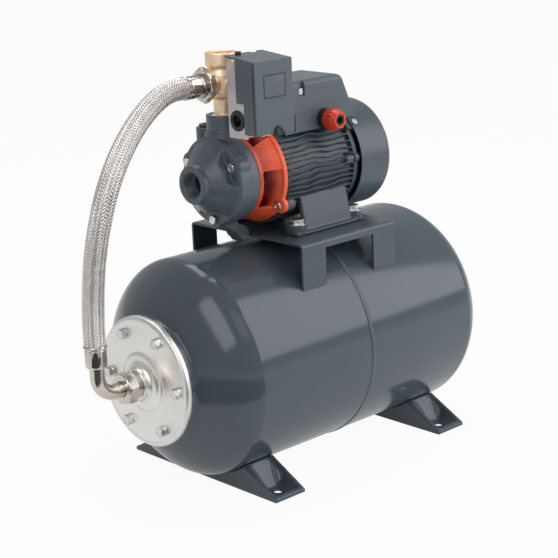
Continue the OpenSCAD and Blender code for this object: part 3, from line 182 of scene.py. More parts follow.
# Turned, hexagonal and lofted shapes, made along +Z in millimetres and laid in place
def laid(axis, at, spin_deg=0):
    quarter = math.pi / 2
    turn = {"x": Matrix.Rotation(quarter, 4, "Y"), "-x": Matrix.Rotation(-quarter, 4, "Y"),
            "-y": Matrix.Rotation(quarter, 4, "X"), "z": Matrix.Identity(4)}[axis]
    return (Matrix.Translation(Vector(at) * MM) @ turn
            @ Matrix.Rotation(math.radians(spin_deg), 4, "Z") @ MILLIMETRES)


SHAFT = laid("x", (0, 0, PUMP_Z))


def lofted(name, rings, spot=MILLIMETRES, loop=False, sharp_deg=35):
    """A closed skin over rings of points. A loop's last ring joins its first."""
    count = len(rings[0])
    faces = []
    for i in range(len(rings) if loop else len(rings) - 1):
        j = (i + 1) % len(rings)
        faces += [(i * count + k, i * count + (k + 1) % count, j * count + (k + 1) % count,
                   j * count + k) for k in range(count)]
    if not loop:
        start = (len(rings) - 1) * count
        faces += [tuple(range(count))[::-1], tuple(range(start, start + count))]
    mesh = bpy.data.meshes.new(name)
    mesh.from_pydata(np.concatenate(rings).tolist(), [], faces)
    mesh.transform(spot)
    bm = bmesh.new()
    bm.from_mesh(mesh)
    bmesh.ops.remove_doubles(bm, verts=bm.verts, dist=1e-7)
    bmesh.ops.dissolve_degenerate(bm, dist=1e-8, edges=bm.edges)
    bmesh.ops.recalc_face_normals(bm, faces=bm.faces)
    bm.to_mesh(mesh)
    bm.free()
    return finish_mesh(mesh, sharp_deg)


def angles(count):
    return np.linspace(0, 2 * np.pi, count, endpoint=False)


def ring_at(radius, z, count):
    """A ring of points. The radius is one number or one for each point."""
    turn = angles(count)
    radius = np.broadcast_to(radius, turn.shape)
    return np.stack([radius * np.cos(turn), radius * np.sin(turn), np.full(count, float(z))], 1)


def softened(outline, radius, loop=False, steps=4):
    """An outline with its corners rounded by about the radius."""
    points = [np.array(p, float) for p in outline]
    out = []
    for i, p in enumerate(points):
        if not loop and i in (0, len(points) - 1):
            out.append(p)
            continue
        before, after = points[i - 1], points[(i + 1) % len(points)]
        a, b = before - p, after - p
        la, lb = np.linalg.norm(a), np.linalg.norm(b)
        reach = min(radius, 0.45 * la, 0.45 * lb)
        start, end = p + a / la * reach, p + b / lb * reach
        for t in np.linspace(0, 1, steps):
            out.append((1 - t) ** 2 * start + 2 * t * (1 - t) * p + t ** 2 * end)
    return out


def rings_at(sides, *places):
    """Rings of points from [radius, height] pairs."""
    return [ring_at(radius, z, sides) for radius, z in places]


def turned(name, outline, spot=MILLIMETRES, sides=96, loop=False, edge=0.0, sharp_deg=35):
    """A lathe shape from its [radius, z] outline."""
    if edge:
        outline = softened(outline, edge, loop)
    return lofted(name, rings_at(sides, *outline), spot, loop, sharp_deg)


def hex_rings(across_flats, z0, z1, sides=72, low=True):
    """Rings of a hexagon between two heights, chamfered like a turned blank."""
    turn = np.degrees(angles(sides)) % 60 - 30
    flat = across_flats / 2 / np.cos(np.radians(turn))
    inner = across_flats / 2 * 0.97
    steps = [inner, across_flats / 2 * 1.04, across_flats / 2 * 1.1, flat.max()]
    drop = math.tan(math.radians(30))
    rings = [ring_at(flat, z0, sides)]
    if low:
        rings = [ring_at(np.minimum(flat, cap), z0 + (cap - inner) * drop, sides) for cap in steps]
    return rings + [ring_at(np.minimum(flat, cap), z1 - (cap - inner) * drop, sides)
                    for cap in reversed(steps)]


def hex_nut(name, across_flats, z0, z1, bore, spot=MILLIMETRES):
    """A hexagon with a bore and a small countersink at both ends."""
    sides = 72
    rings = hex_rings(across_flats, z0, z1, sides)
    rings += rings_at(sides, (bore + 0.8, z1), (bore, z1 - 0.8), (bore, z0 + 0.8), (bore + 0.8, z0))
    return lofted(name, rings, spot, loop=True, sharp_deg=28)


def hex_bolt(name, shank_r, across_flats, head_h, length, collar=None):
    """A bolt whose head stands on z = 0, with a dished and chamfered top."""
    sides = 48
    base = 0.0
    rings = rings_at(sides, (0, -length), (shank_r - 0.6, -length), (shank_r, -length + 0.6),
                     (shank_r, 0))
    if collar:
        radius, base = collar
        rings += rings_at(sides, (radius - 0.3, 0), (radius, 0.3), (radius, base - 0.5),
                          (radius - 0.5, base))
    rings += hex_rings(across_flats, base, base + head_h, sides, low=False)
    dish, top = across_flats * 0.36, base + head_h
    rings += rings_at(sides, (dish, top), (dish - 0.5, top - 0.35), (0, top - 0.35))
    return lofted(name, rings, sharp_deg=28)


def rod(name, radius, z0, z1, spot, edge=0.6):
    edge = min(edge, radius * 0.4)
    outline = [(0, z0), (radius - edge, z0), (radius, z0 + edge), (radius, z1 - edge),
               (radius - edge, z1), (0, z1)]
    return turned(name, outline, spot, 64)


def slab(name, x, y, z):
    corners = [np.array([(x[0], y[0], h), (x[1], y[0], h), (x[1], y[1], h), (x[0], y[1], h)], float)
               for h in z]
    return lofted(name, corners)


def bar_along_x(name, outline, x0, x1):
    """An outline in the YZ plane, with its heights from the shaft, drawn out along X."""
    return lofted(name, [np.array([(x, y, z + PUMP_Z) for y, z in outline], float)
                         for x in (x0, x1)])


# Geometry Nodes trees
def new_tree(name, inputs):
    """A node group with a geometry in and out, and the values of its named inputs."""
    tree = bpy.data.node_groups.new(name, "GeometryNodeTree")
    for label, kind in {"Geometry": "Geometry", **inputs}.items():
        tree.interface.new_socket(label, in_out="INPUT", socket_type="NodeSocket" + kind)
    tree.interface.new_socket("Geometry", in_out="OUTPUT", socket_type="NodeSocketGeometry")
    return tree, tree.nodes.new("NodeGroupInput").outputs


def run_tree(made, tree, values):
    """Runs a tree on an object with values by input name, and keeps the result as its mesh."""
    modifier = made.modifiers.new(tree.name, "NODES")
    modifier.node_group = tree
    for item in tree.interface.items_tree:
        if item.in_out == "INPUT" and item.name in values:
            modifier[item.identifier] = values[item.name]
    return baked(made)


class Number:
    """A number in a node tree. Arithmetic on it adds the tree's math nodes."""

    def __init__(self, tree, socket):
        self.tree, self.socket = tree, socket

    def math(self, operation, *others):
        node = add_node(self.tree, "ShaderNodeMath", dict(enumerate((self, *others))),
                        operation=operation)
        return Number(self.tree, node.outputs[0])

    def __add__(self, other):
        return self.math("ADD", other)

    def __sub__(self, other):
        return self.math("SUBTRACT", other)

    def __mul__(self, other):
        return self.math("MULTIPLY", other)

    def __truediv__(self, other):
        return self.math("DIVIDE", other)


def fill(tree, node, inputs):
    """Links or sets a node's inputs by name or number. A node stands for its first output."""
    for key, value in inputs.items():
        if isinstance(value, Number):
            value = value.socket
        if isinstance(value, bpy.types.Node):
            value = value.outputs[0]
        if isinstance(value, bpy.types.NodeSocket):
            tree.links.new(value, node.inputs[key])
        else:
            node.inputs[key].default_value = value


def add_node(tree, kind, inputs=None, **settings):
    made = tree.nodes.new(kind)
    for key, value in settings.items():
        setattr(made, key, value)
    fill(tree, made, inputs or {})
    return made


def vector_math(tree, operation, *vectors, **inputs):
    inputs.update(enumerate(vectors))
    return add_node(tree, "ShaderNodeVectorMath", inputs, operation=operation)


def vector_of(tree, *parts):
    return add_node(tree, "ShaderNodeCombineXYZ", dict(enumerate(parts)))


def end_tree(tree, geometry, material):
    """Realizes the instances, sets the finish and ends the tree."""
    real = add_node(tree, "GeometryNodeRealizeInstances", {"Geometry": geometry})
    painted = add_node(tree, "GeometryNodeSetMaterial", {"Geometry": real, "Material": material})
    add_node(tree, "NodeGroupOutput", {"Geometry": painted})
    return tree


def fastener_tree():
    """One piece at each vertex, every one spun about its own axis by chance."""
    tree, value = new_tree("fasteners", {
        "Piece": "Object", "Lay": "Vector", "Seed": "Int", "Finish": "Material"})
    template = add_node(tree, "GeometryNodeObjectInfo", {"Object": value["Piece"]})
    put = add_node(tree, "GeometryNodeInstanceOnPoints", {
        "Points": value["Geometry"], "Instance": template.outputs["Geometry"],
        "Rotation": value["Lay"]})
    spin = add_node(tree, "FunctionNodeRandomValue", {3: math.pi, "Seed": value["Seed"]},
                    data_type="FLOAT")
    turn = add_node(tree, "GeometryNodeRotateInstances", {
        "Instances": put, "Local Space": True,
        "Rotation": vector_of(tree, 0.0, 0.0, spin.outputs[1])})
    return end_tree(tree, turn, value["Finish"])


FASTENERS = fastener_tree()
LAY = {"-x": (0, -math.pi / 2, 0), "x": (0, math.pi / 2, 0), "z": (0, 0, 0)}


def fasteners(name, template, places, axis, seed):
    """The same zinc fastener at several places, given in millimetres."""
    points = bpy.data.meshes.new(name)
    points.from_pydata([tuple(c * MM for c in p) for p in places], [], [])
    model = add_object(name + "_model", template)
    made = run_tree(add_object(name, points), FASTENERS,
                    {"Piece": model, "Lay": LAY[axis], "Seed": seed, "Finish": ZINC})
    bpy.data.objects.remove(model)
    finish_mesh(made.data, 28)
    return made


def fastened(node, template, places, axis, seed):
    """The fasteners that stand for one CAD node."""
    piece(node, fasteners(node + "_piece", template, places, axis, seed))


def polar(radius, degrees, x, z):
    """Places on a circle round a line along X, at height z."""
    return [(x, radius * math.cos(math.radians(a)), z + radius * math.sin(math.radians(a)))
            for a in degrees]


# Materials
def new_material(name):
    material = bpy.data.materials.new(name)
    material.use_nodes = True
    tree = material.node_tree
    return material, tree, tree.nodes["Principled BSDF"]


def linear(colour):
    """A display colour, 0 to 255, as the shader's linear value."""
    def one(c):
        c = c / 255.0
        return c / 12.92 if c <= 0.04045 else ((c + 0.055) / 1.055) ** 2.4
    return (*[one(c) for c in colour], 1.0)


def noise(tree, place, scale, detail=3.0, rough=0.5):
    return add_node(tree, "ShaderNodeTexNoise", {
        "Vector": place, "Scale": scale, "Detail": detail, "Roughness": rough})


def spread(tree, value, low, high, out_low, out_high):
    return add_node(tree, "ShaderNodeMapRange", {
        "Value": value, "From Min": low, "From Max": high, "To Min": out_low, "To Max": out_high})


def blend_colours(tree, value, dark, light):
    """Two display colours, blended by a pattern."""
    ramp = add_node(tree, "ShaderNodeValToRGB", {"Fac": value})
    for stop, position, colour in zip(ramp.color_ramp.elements, (0.3, 0.7), (dark, light)):
        stop.position, stop.color = position, linear(colour)
    return ramp


def from_axis(tree, place, height):
    """The distance from a line along X at a height in millimetres."""
    move = add_node(tree, "ShaderNodeMapping", {
        "Vector": place, "Location": (0, 0, -height * MM), "Scale": (0, 1, 1)})
    return Number(tree, vector_math(tree, "LENGTH", move).outputs["Value"])


def relief(tree, height, strength, depth, under=None):
    """A bump with its depth in millimetres, on top of another one if there is one."""
    inputs = {"Normal": under} if under else {}
    inputs.update({"Height": height, "Strength": strength, "Distance": depth * MM})
    return add_node(tree, "ShaderNodeBump", inputs)


FINISH = {}


def surface(name, dark, light, rough, patch, grain, bump, depth, metal=0.0, lumps=None,
            grooves=None, brushed=0.0):
    """A painted, cast, moulded or plated surface with patches, grain and fine relief."""
    material, tree, shader = new_material(name)
    place = add_node(tree, "ShaderNodeTexCoord").outputs["Object"]
    patches = noise(tree, place, patch, 4.0, 0.55)
    under = None
    if lumps:
        scale, strength, height = lumps
        under = relief(tree, noise(tree, place, scale, 3.0, 0.6), strength, height)
    if grooves:
        # Fine turning marks, rings round a line along X at the given height
        height, pitch, strength = grooves
        marks = (from_axis(tree, place, height) * (2 * math.pi / (pitch * MM))).math("SINE")
        under = relief(tree, marks, strength, 0.02)
    fill(tree, shader, {
        "Base Color": blend_colours(tree, patches, dark, light),
        "Roughness": spread(tree, patches, 0.3, 0.7, *rough), "Metallic": metal,
        "Normal": relief(tree, noise(tree, place, grain, 2.0, 0.5), bump, depth, under)})
    if brushed:
        around = add_node(tree, "ShaderNodeTangent", direction_type="RADIAL", axis="X")
        fill(tree, shader, {"Anisotropic": brushed, "Tangent": around})
    FINISH[name] = material
    return material


TANK_PAINT = surface("tank_paint", (74, 85, 94), (78, 89, 98), (0.13, 0.17), patch=7, grain=190,
                     bump=0.12, depth=0.05)
PRESSED_PAINT = surface("pressed_paint", (70, 81, 90), (77, 88, 97), (0.24, 0.32), patch=16,
                        grain=260, bump=0.16, depth=0.06)
surface("cast_paint", (74, 85, 94), (88, 99, 108), (0.28, 0.4), patch=70, grain=1300,
        bump=0.45, depth=0.1, lumps=(230, 0.5, 0.45))
MOTOR_PAINT = surface("motor_paint", (62, 73, 82), (74, 85, 94), (0.28, 0.4), patch=60, grain=1300,
                      bump=0.3, depth=0.08, lumps=(170, 0.3, 0.3))
surface("box_plastic", (80, 90, 99), (87, 97, 106), (0.34, 0.4), patch=30, grain=2400, bump=0.3,
        depth=0.06)
ORANGE_PAINT = surface("orange_paint", (240, 88, 50), (253, 106, 66), (0.24, 0.34), patch=50,
                       grain=1100, bump=0.35, depth=0.1, lumps=(200, 0.35, 0.4))
surface("orange_plastic", (216, 58, 28), (234, 74, 38), (0.26, 0.34), patch=80, grain=2600,
        bump=0.2, depth=0.04)
ZINC = surface("zinc_plate", (206, 208, 208), (224, 225, 224), (0.2, 0.28), patch=60, grain=1500,
               bump=0.12, depth=0.03, metal=1.0)
TURNED_ZINC = surface("turned_zinc", (222, 220, 217), (236, 234, 231), (0.24, 0.34), patch=22,
                      grain=1500, bump=0.1, depth=0.03, metal=1.0,
                      grooves=(TANK_Z, 0.8, 0.25), brushed=0.75)
surface("nickel", (196, 188, 180), (216, 209, 202), (0.13, 0.2), patch=50, grain=1300, bump=0.1,
        depth=0.03, metal=1.0)
surface("pale_brass", (243, 210, 172), (251, 228, 198), (0.36, 0.48), patch=90, grain=1500,
        bump=0.5, depth=0.1, metal=0.9, lumps=(420, 0.35, 0.3))
surface("black_rubber", (24, 25, 27), (34, 36, 38), (0.45, 0.6), patch=60, grain=1500, bump=0.3,
        depth=0.08)
surface("plain_steel", (170, 172, 176), (186, 188, 192), (0.26, 0.34), patch=80, grain=1800,
        bump=0.2, depth=0.05, metal=1.0)
surface("ceramic", (206, 202, 192), (222, 218, 208), (0.25, 0.35), patch=80, grain=2000,
        bump=0.15, depth=0.04)
surface("copper_wire", (150, 74, 36), (190, 104, 58), (0.3, 0.45), patch=200, grain=1600,
        bump=0.8, depth=0.2, metal=1.0)
surface("black_plastic", (30, 32, 35), (42, 45, 49), (0.4, 0.5), patch=50, grain=2400,
        bump=0.25, depth=0.05)
surface("can_aluminium", (190, 192, 196), (206, 208, 212), (0.3, 0.38), patch=60, grain=2000,
        bump=0.15, depth=0.04, metal=1.0)
surface("switch_plate", (196, 188, 190), (210, 202, 203), (0.34, 0.42), patch=50, grain=1600,
        bump=0.2, depth=0.05, metal=0.35)


def painted_shade_inside(material, height, dark_within, painted):
    """Paints shade into the hollow round the shaft: the colour darkens to a deep shaded red, fully
    within the first radius and fading back to the paint by the second.
    """
    tree = material.node_tree
    base = tree.nodes["Principled BSDF"].inputs["Base Color"]
    place = add_node(tree, "ShaderNodeTexCoord").outputs["Object"]
    shade_red = blend_colours(tree, noise(tree, place, 160.0), (100, 4, 8), (132, 8, 12))
    share = spread(tree, from_axis(tree, place, height), dark_within * MM, painted * MM, 1.0, 0.0)
    mix = add_node(tree, "ShaderNodeMix", {0: share, 6: base.links[0].from_socket, 7: shade_red},
                   data_type="RGBA")
    tree.links.new(mix.outputs[2], base)


# Painted shade deep in the lantern's hollow, fading out between 45 and 55.4 mm from the shaft
painted_shade_inside(ORANGE_PAINT, PUMP_Z, 45, 55.4)


def braid_steel():
    """Bright wire that shows its single strands across each band of the braid."""
    material, tree, shader = new_material("steel_braid")
    band = add_node(tree, "ShaderNodeUVMap", uv_map="UVMap").outputs["UV"]
    across = Number(tree, add_node(tree, "ShaderNodeSeparateXYZ", {0: band}).outputs["Y"])
    strands = (across * (2 * math.pi * 6)).math("SINE")
    patches = noise(tree, add_node(tree, "ShaderNodeTexCoord").outputs["Object"], 120.0)
    fill(tree, shader, {
        "Base Color": blend_colours(tree, patches, (212, 207, 202), (234, 229, 225)),
        "Metallic": 0.92, "Roughness": spread(tree, patches, 0.3, 0.7, 0.28, 0.36),
        "Normal": relief(tree, strands, 0.5, 0.06)})
    return material


BRAID_STEEL = FINISH["steel_braid"] = braid_steel()

# The record says which slot each CAD node's finish comes from
NODE_SLOT = {part["node"]: part["material_slot"] for part in frame["record"]["subparts"]}


def piece(node, mesh, finish=None):
    """A detailed piece that stands for one CAD node, with the node's slot."""
    made = mesh if isinstance(mesh, bpy.types.Object) else add_object(node + "_piece", mesh)
    return dress(made, NODE_SLOT[node], node, finish=finish)


set_camera()

# Hose
HOSE_ROUTE = [(-160, 0, 463), (-172, 0, 463), (-185, -0.5, 461), (-198, -2, 456.8),
              (-211.5, -4.8, 451), (-225.5, -8.6, 444), (-239.5, -13.2, 436), (-253, -18, 427),
              (-265.5, -22.6, 417.3), (-276.8, -26.6, 407), (-286.8, -30, 396),
              (-295.3, -32.3, 384.3), (-302, -33, 371.8), (-306.8, -32.2, 358),
              (-309.8, -30, 343.6), (-311.5, -26.4, 328.8), (-312, -22, 313.4),
              (-311.4, -16.8, 297.5), (-310.2, -11.6, 280.2), (-308.8, -6.8, 263.4),
              (-307.6, -3, 246), (-307.1, -0.9, 230.5), (-307, 0, 215), (-307, 0, 199)]
HOSE_R = 12.5


def hose_line(step=3.0):
    """The hose's centre line as evenly spaced points in metres, smoothed through its route."""
    knots = np.array(HOSE_ROUTE, float) * MM
    knots = np.vstack([2 * knots[0] - knots[1], knots, 2 * knots[-1] - knots[-2]])
    fine = []
    for i in range(1, len(knots) - 2):
        p0, p1, p2, p3 = knots[i - 1:i + 3]
        for t in np.linspace(0, 1, 12, endpoint=False):
            fine.append(0.5 * (2 * p1 + (p2 - p0) * t + (2 * p0 - 5 * p1 + 4 * p2 - p3) * t ** 2
                               + (3 * p1 - p0 - 3 * p2 + p3) * t ** 3))
    fine = np.array(fine + [knots[-2]])
    along = np.concatenate([[0], np.cumsum(np.linalg.norm(np.diff(fine, axis=0), axis=1))])
    at = np.linspace(0, along[-1], round(along[-1] / (step * MM)) + 1)
    return np.stack([np.interp(at, along, fine[:, k]) for k in range(3)], axis=1)


def braid_tree():
    """Flat bands that wind both ways round a line, over and under each other."""
    measures = ("Length", "Carriers", "Turns", "Radius", "Band width", "Band height", "Lift")
    tree, value = new_tree("braid", {
        "Line": "Object", **dict.fromkeys(measures, "Float"), "Finish": "Material"})
    length, carriers, turns, tube, width, height, lift = [
        Number(tree, value[label]) for label in measures]
    circle = 2 * math.pi
    crossings = carriers * 2.0 * turns
    # One band along X from 0 to 1, with its width on Y as left edge, crown, right edge, left edge
    band = add_node(tree, "GeometryNodeMeshGrid", {
        "Size X": 1.0, "Size Y": 1.0, "Vertices X": crossings * 2.0 + 1.0, "Vertices Y": 4})
    here = add_node(tree, "GeometryNodeInputPosition")
    corner = vector_math(tree, "ADD", here, (0.5, 0.5, 0.0))
    marked = add_node(tree, "GeometryNodeStoreNamedAttribute", {
        "Geometry": band, "Name": "UVMap", "Value": corner}, data_type="FLOAT2", domain="CORNER")
    points = add_node(tree, "GeometryNodePoints", {"Count": carriers * 2.0})
    put = add_node(tree, "GeometryNodeInstanceOnPoints", {"Points": points, "Instance": marked})
    number = add_node(tree, "GeometryNodeStoreNamedAttribute", {
        "Geometry": put, "Name": "band", "Value": add_node(tree, "GeometryNodeInputIndex")},
        data_type="FLOAT", domain="INSTANCE")
    real = add_node(tree, "GeometryNodeRealizeInstances", {"Geometry": number})
    index = Number(tree, add_node(tree, "GeometryNodeInputNamedAttribute", {"Name": "band"},
                                  data_type="FLOAT"))
    spot = add_node(tree, "ShaderNodeSeparateXYZ", {0: here}).outputs
    along, place = Number(tree, spot["X"]) + 0.5, Number(tree, spot["Y"]) + 0.5
    across = width * (place * 1.5 - 0.5 - place.math("GREATER_THAN", 0.9) * 1.5)
    # Bands past the carrier count wind the other way
    way = index.math("GREATER_THAN", carriers - 0.5) * -2.0 + 1.0
    slope = (tube * (turns * circle)).math("ARCTAN2", length)
    turn = (along * turns * circle * way + index / carriers * circle
            + across * slope.math("COSINE") / tube)
    travel = along * length - way * (across * slope.math("SINE"))
    crown = height * (place - 1 / 3).math("ABSOLUTE").math("LESS_THAN", 0.1)
    # Two over and two under, so that the bands show as herringbone rows along the hose
    beat = way * (along * crossings) + (index * 2.0 - 0.5)
    radius = tube + crown + way * lift * (beat * (math.pi / 2)).math("COSINE")
    line = add_node(tree, "GeometryNodeObjectInfo", {"Object": value["Line"]})
    sample = add_node(tree, "GeometryNodeSampleCurve", {
        "Curves": line.outputs["Geometry"], "Length": travel},
        mode="LENGTH", use_all_curves=False).outputs
    side = vector_math(tree, "CROSS_PRODUCT", sample["Tangent"], sample["Normal"])
    up, over = [vector_math(tree, "SCALE", axis, Scale=radius * turn.math(share))
                for axis, share in ((sample["Normal"], "COSINE"), (side, "SINE"))]
    place = vector_math(tree, "ADD", sample["Position"], vector_math(tree, "ADD", up, over))
    move = add_node(tree, "GeometryNodeSetPosition", {"Geometry": real, "Position": place})
    merge = add_node(tree, "GeometryNodeMergeByDistance", {"Geometry": move, "Distance": 1e-7})
    return end_tree(tree, merge, value["Finish"])


def tube_mesh(name, line, radius, sides=40):
    """A round tube along a line, with closed ends."""
    ahead = np.gradient(line, axis=0)
    ahead /= np.linalg.norm(ahead, axis=1)[:, None]
    side = np.cross(ahead, np.cross((0.0, 1.0, 0.0), ahead))
    side /= np.linalg.norm(side, axis=1)[:, None]
    over = np.cross(ahead, side)
    turn = angles(sides)[None, :, None]
    rings = (line[:, None] + radius * (np.cos(turn) * side[:, None] + np.sin(turn) * over[:, None]))
    return lofted(name, list(rings), Matrix.Identity(4))


def capped(mesh):
    """The mesh with the cut ends of its bands closed."""
    bm = bmesh.new()
    bm.from_mesh(mesh)
    bmesh.ops.holes_fill(bm, edges=[edge for edge in bm.edges if edge.is_boundary], sides=4)
    bmesh.ops.recalc_face_normals(bm, faces=bm.faces)
    out = bpy.data.meshes.new("hose_braid")
    bm.to_mesh(out)
    bm.free()
    return out


def braided_hose():
    line = hose_line()
    length = float(np.linalg.norm(np.diff(line, axis=0), axis=1).sum())
    curve = bpy.data.curves.new("hose_line", "CURVE")
    curve.dimensions = "3D"
    spline = curve.splines.new("POLY")
    spline.points.add(len(line) - 1)
    for point, where in zip(spline.points, line):
        point.co = (*where, 1.0)
    guide = add_object("hose_line", curve)
    radius = (HOSE_R - 0.8) * MM
    turns = length / (2 * math.pi * radius)
    bands = run_tree(add_object("hose_bands", bpy.data.meshes.new("hose_bands")), braid_tree(), {
        "Line": guide, "Length": length, "Carriers": 20.0, "Turns": turns, "Radius": radius,
        "Band width": 2.1 * MM, "Band height": 0.5 * MM, "Lift": 0.34 * MM,
        "Finish": BRAID_STEEL})
    bpy.data.objects.remove(guide)
    core = add_object("hose_core", tube_mesh("hose_core", line, radius - 0.15 * MM))
    dress(core, "black_rubber")
    made = add_object("hose_braid", capped(bands.data))
    bpy.data.objects.remove(bands)
    finish_mesh(made.data, 40)
    dress(made, "steel_braid", "braided_hose")
    hose_ends()


HOSE_Z = 463.0


def sleeve(name, length, spot):
    """A crimped sleeve with eight pressed flats and a rolled collar at the braid."""
    sides = 96
    turn = np.degrees(angles(sides)) % 45 - 22.5
    flat = np.minimum(12.2 / np.cos(np.radians(turn)), 12.95)
    outline = [(6.6, 0), (10.6, 0), (11.6, 0.5), (12.1, 1.6), (flat, 3.2), (flat, length - 5.6),
               (12.3, length - 4.4), (12.0, length - 3.6), (12.1, length - 3.0),
               (13.2, length - 2.5), (13.5, length - 1.8), (13.5, length - 0.7), (13.1, length),
               (12.2, length), (6.6, length)]
    return turned(name, outline, spot, sides, loop=True, sharp_deg=24)


def hose_ends():
    """The sleeves at both ends of the hose, and the tail that its nut turns on."""
    upper = (-134.8, 0, HOSE_Z)
    meshes = [sleeve("upper_sleeve", 25.2, laid("-x", upper, 10)),
              sleeve("lower_sleeve", 25.0, laid("z", (-307.0, 0, 174), 30)),
              turned("tail", [(6.6, -1.7), (12.9, -1.7), (12.9, 0.2), (6.6, 0.2)],
                     laid("-x", upper), loop=True)]
    return piece("hose_ferrules", joined("hose_ends", meshes))


braided_hose()
piece("hose_nut", hex_nut("hose_nut", 36, 0, 9, 13.25, laid("-x", (-125.5, 0, HOSE_Z), 8)))


# Tank
TANK_R, STRAIGHT, HEAD = 130.0, 174.0, 72.0
HEAD_POWER = 2 / 1.65


def head(radius, depth, from_deg, to_deg, steps=40):
    """Points of a domed head as [radius, distance from the seam]."""
    turn = np.radians(np.linspace(from_deg, to_deg, steps))
    return [(radius * math.sin(a) ** HEAD_POWER,
             STRAIGHT + depth * max(math.cos(a), 0) ** HEAD_POWER) for a in turn]


def weld_bead():
    """The seam round the middle, a low crown with the crescents of a machine weld."""
    half, sides = 3.2, 1500
    turn = angles(sides)
    rings = []
    for x in np.linspace(-half, half, 9):
        rise = 1.05 * math.sqrt(max(1 - (x / half) ** 2, 0))
        ripple = 0.14 * np.cos(330 * turn - 2.2 * (x / half) ** 2) * min(1, rise)
        rings.append(ring_at(TANK_R - 0.1 + rise + ripple, x, sides))
    rings += rings_at(sides, (TANK_R - 0.8, half), (TANK_R - 0.8, -half))
    return lofted("weld_bead", rings, laid("x", (0, 0, TANK_Z)), loop=True, sharp_deg=50)


def tank():
    spot = laid("-x", (0, 0, TANK_Z))
    outer = [(TANK_R, 0)] + head(TANK_R, HEAD, 90, 39.5)
    inner = head(TANK_R - 2, HEAD - 2, 33, 90)
    outline = outer + [(73.6, 228.6), (73.3, 230), (73.3, 238), (45, 238), (45, 231)]
    outline += inner + [(TANK_R - 2, 0)]
    piece("tank_flange_half", turned("tank_flange_half", outline, spot, 256, loop=True))
    spot = laid("x", (0, 0, TANK_Z))
    outer = [(TANK_R, 0)] + head(TANK_R, HEAD, 90, 8)
    boss = [(10.5, 245.4), (9, 246.6), (9, 251), (8.4, 251.5), (4.1, 251.5), (4.1, 243)]
    shell = turned("tank_valve_half", outer + boss + head(TANK_R - 2, HEAD - 2, 4, 90)
                   + [(TANK_R - 2, 0)], spot, 256, loop=True)
    piece("tank_valve_half", joined("tank_valve_half", [shell, weld_bead()]))


tank()

# Tank flange
FLANGE_FACE = -244.0
spots = polar(60, range(0, 360, 60), FLANGE_FACE, TANK_Z)
flange = [(13.3, 12), (17.2, 12), (18.2, 10.6), (19.2, 7.4), (21.6, 4.8), (26, 3.1), (31.5, 2.3),
          (33.4, 1.7), (35, 0.3), (36.4, 0.0), (71, 0.0), (72.2, 0.5), (73.6, 0.0), (75.6, -0.7),
          (76.7, -2.4), (76.7, -8.0), (73.95, -8.0), (73.95, -3.0), (40, -3.0), (24, 3.0),
          (13.3, 3.0)]
piece("tank_flange", turned("tank_flange", flange, laid("-x", (FLANGE_FACE, 0, TANK_Z)), 192,
                            loop=True, edge=0.7), TURNED_ZINC)
fastened("flange_bolts", hex_bolt("flange_bolt", 4, 11, 5.5, 13, collar=(6.6, 0.9)), spots, "-x", 4)

# Feet
DISH_Y, DISH_Z = 74, 32.5  # where the sheet leaves the tank


def dish(x, way):
    """The pressed dish in a foot, whose floor runs softly up into its sides."""
    half, floor_h, soft, sheet, side_power = 19.5, 2.5, 1.6, 1.8, 3.4
    across = np.linspace(-half, half, 25)
    rings = []
    for y in np.linspace(DISH_Y + 1, 121.5, 28):
        ramp = DISH_Z - 1.36 * (y - DISH_Y)
        rim = DISH_Z - 0.3 - 0.529 * (y - DISH_Y)
        floor = floor_h + soft * math.log1p(math.exp((ramp - floor_h) / soft))
        top = floor + max(rim - floor, 0) * np.abs(across / half) ** side_power
        under = np.full(2, max(floor - sheet, 0.6))
        rings.append(np.stack([x + np.concatenate([across, across[[-1, 0]]]), np.full(27, way * y),
                               np.concatenate([top, under])], 1))
    return lofted("dish", rings)


for end, x in (("foot_flange_end", -141), ("foot_valve_end", 141)):
    holes = [rod("hole", 4.5, -2, 12, laid("z", (x, way * 106, 0)), 0.1) for way in (-1, 1)]
    shapes = [whole_copy(end), dish(x, -1), dish(x, 1)]
    piece(end, cast(end + "_piece", shapes, 1.05, 6, holes), TANK_PAINT)

# Platform, and the four bolts that hold the motor on it
eased("pump_platform", "platform_piece", 0.7, 2, PRESSED_PAINT)
PLATFORM_TOP, PLATFORM_T, WASHER_T = 281, 3, 1.6
BOSS_X, BOSS_Y, BOSS_H = 46.5, 57, 12.4
foot_bolts = [(x * BOSS_X, y * BOSS_Y, PLATFORM_TOP + BOSS_H + WASHER_T)
              for x in (-1, 1) for y in (-1, 1)]
fastened("motor_bolts", hex_bolt("motor_bolt", 4, 13, 5.3, 25.5), foot_bolts, "z", 7)
washer = turned("washer", [(4.2, -WASHER_T), (10, -WASHER_T), (10, 0), (4.2, 0)], sides=64,
                loop=True, edge=0.4)
fastened("motor_washers", washer, foot_bolts, "z", 2)
fastened("motor_nuts", hex_nut("motor_nut", 13, -6.5, 0, 4.03),
         [(x, y, PLATFORM_TOP - PLATFORM_T) for x, y, _ in foot_bolts], "z", 5)

# Pump casing
CASING_BOLTS = [(38.6, 17.6), (-37.8, 19.8), (-1.6, -45.4)]


def thread_rings(name, spot):
    """The visible crests of a 1 inch female thread, as a thin sleeve seated in its bore."""
    radius, depth, pitch = 15.15, 13, 2.3
    outline = []
    z = -0.8
    while z > -depth:
        outline += [(radius + 0.1, z), (radius - 0.9, z - pitch * 0.45),
                    (radius - 0.9, z - pitch * 0.55)]
        z -= pitch
    outline += [(radius + 0.1, z), (radius + 0.6, z), (radius + 0.6, -0.8)]
    return add_object(name, turned(name, outline, spot, 64, loop=True, sharp_deg=20))


def pocket(y, z):
    """The space for a casing bolt's head, an arc round the inlet that opens outwards."""
    middle = math.atan2(z, y)
    inner, outer = [[(reach * math.cos(middle + a), reach * math.sin(middle + a))
                     for a in np.linspace(-wide, wide, 9)]
                    for reach, wide in ((35.4, 0.34), (56, 0.66))]
    return bar_along_x("pocket", softened(inner + outer[::-1], 6, loop=True), -155, -126)


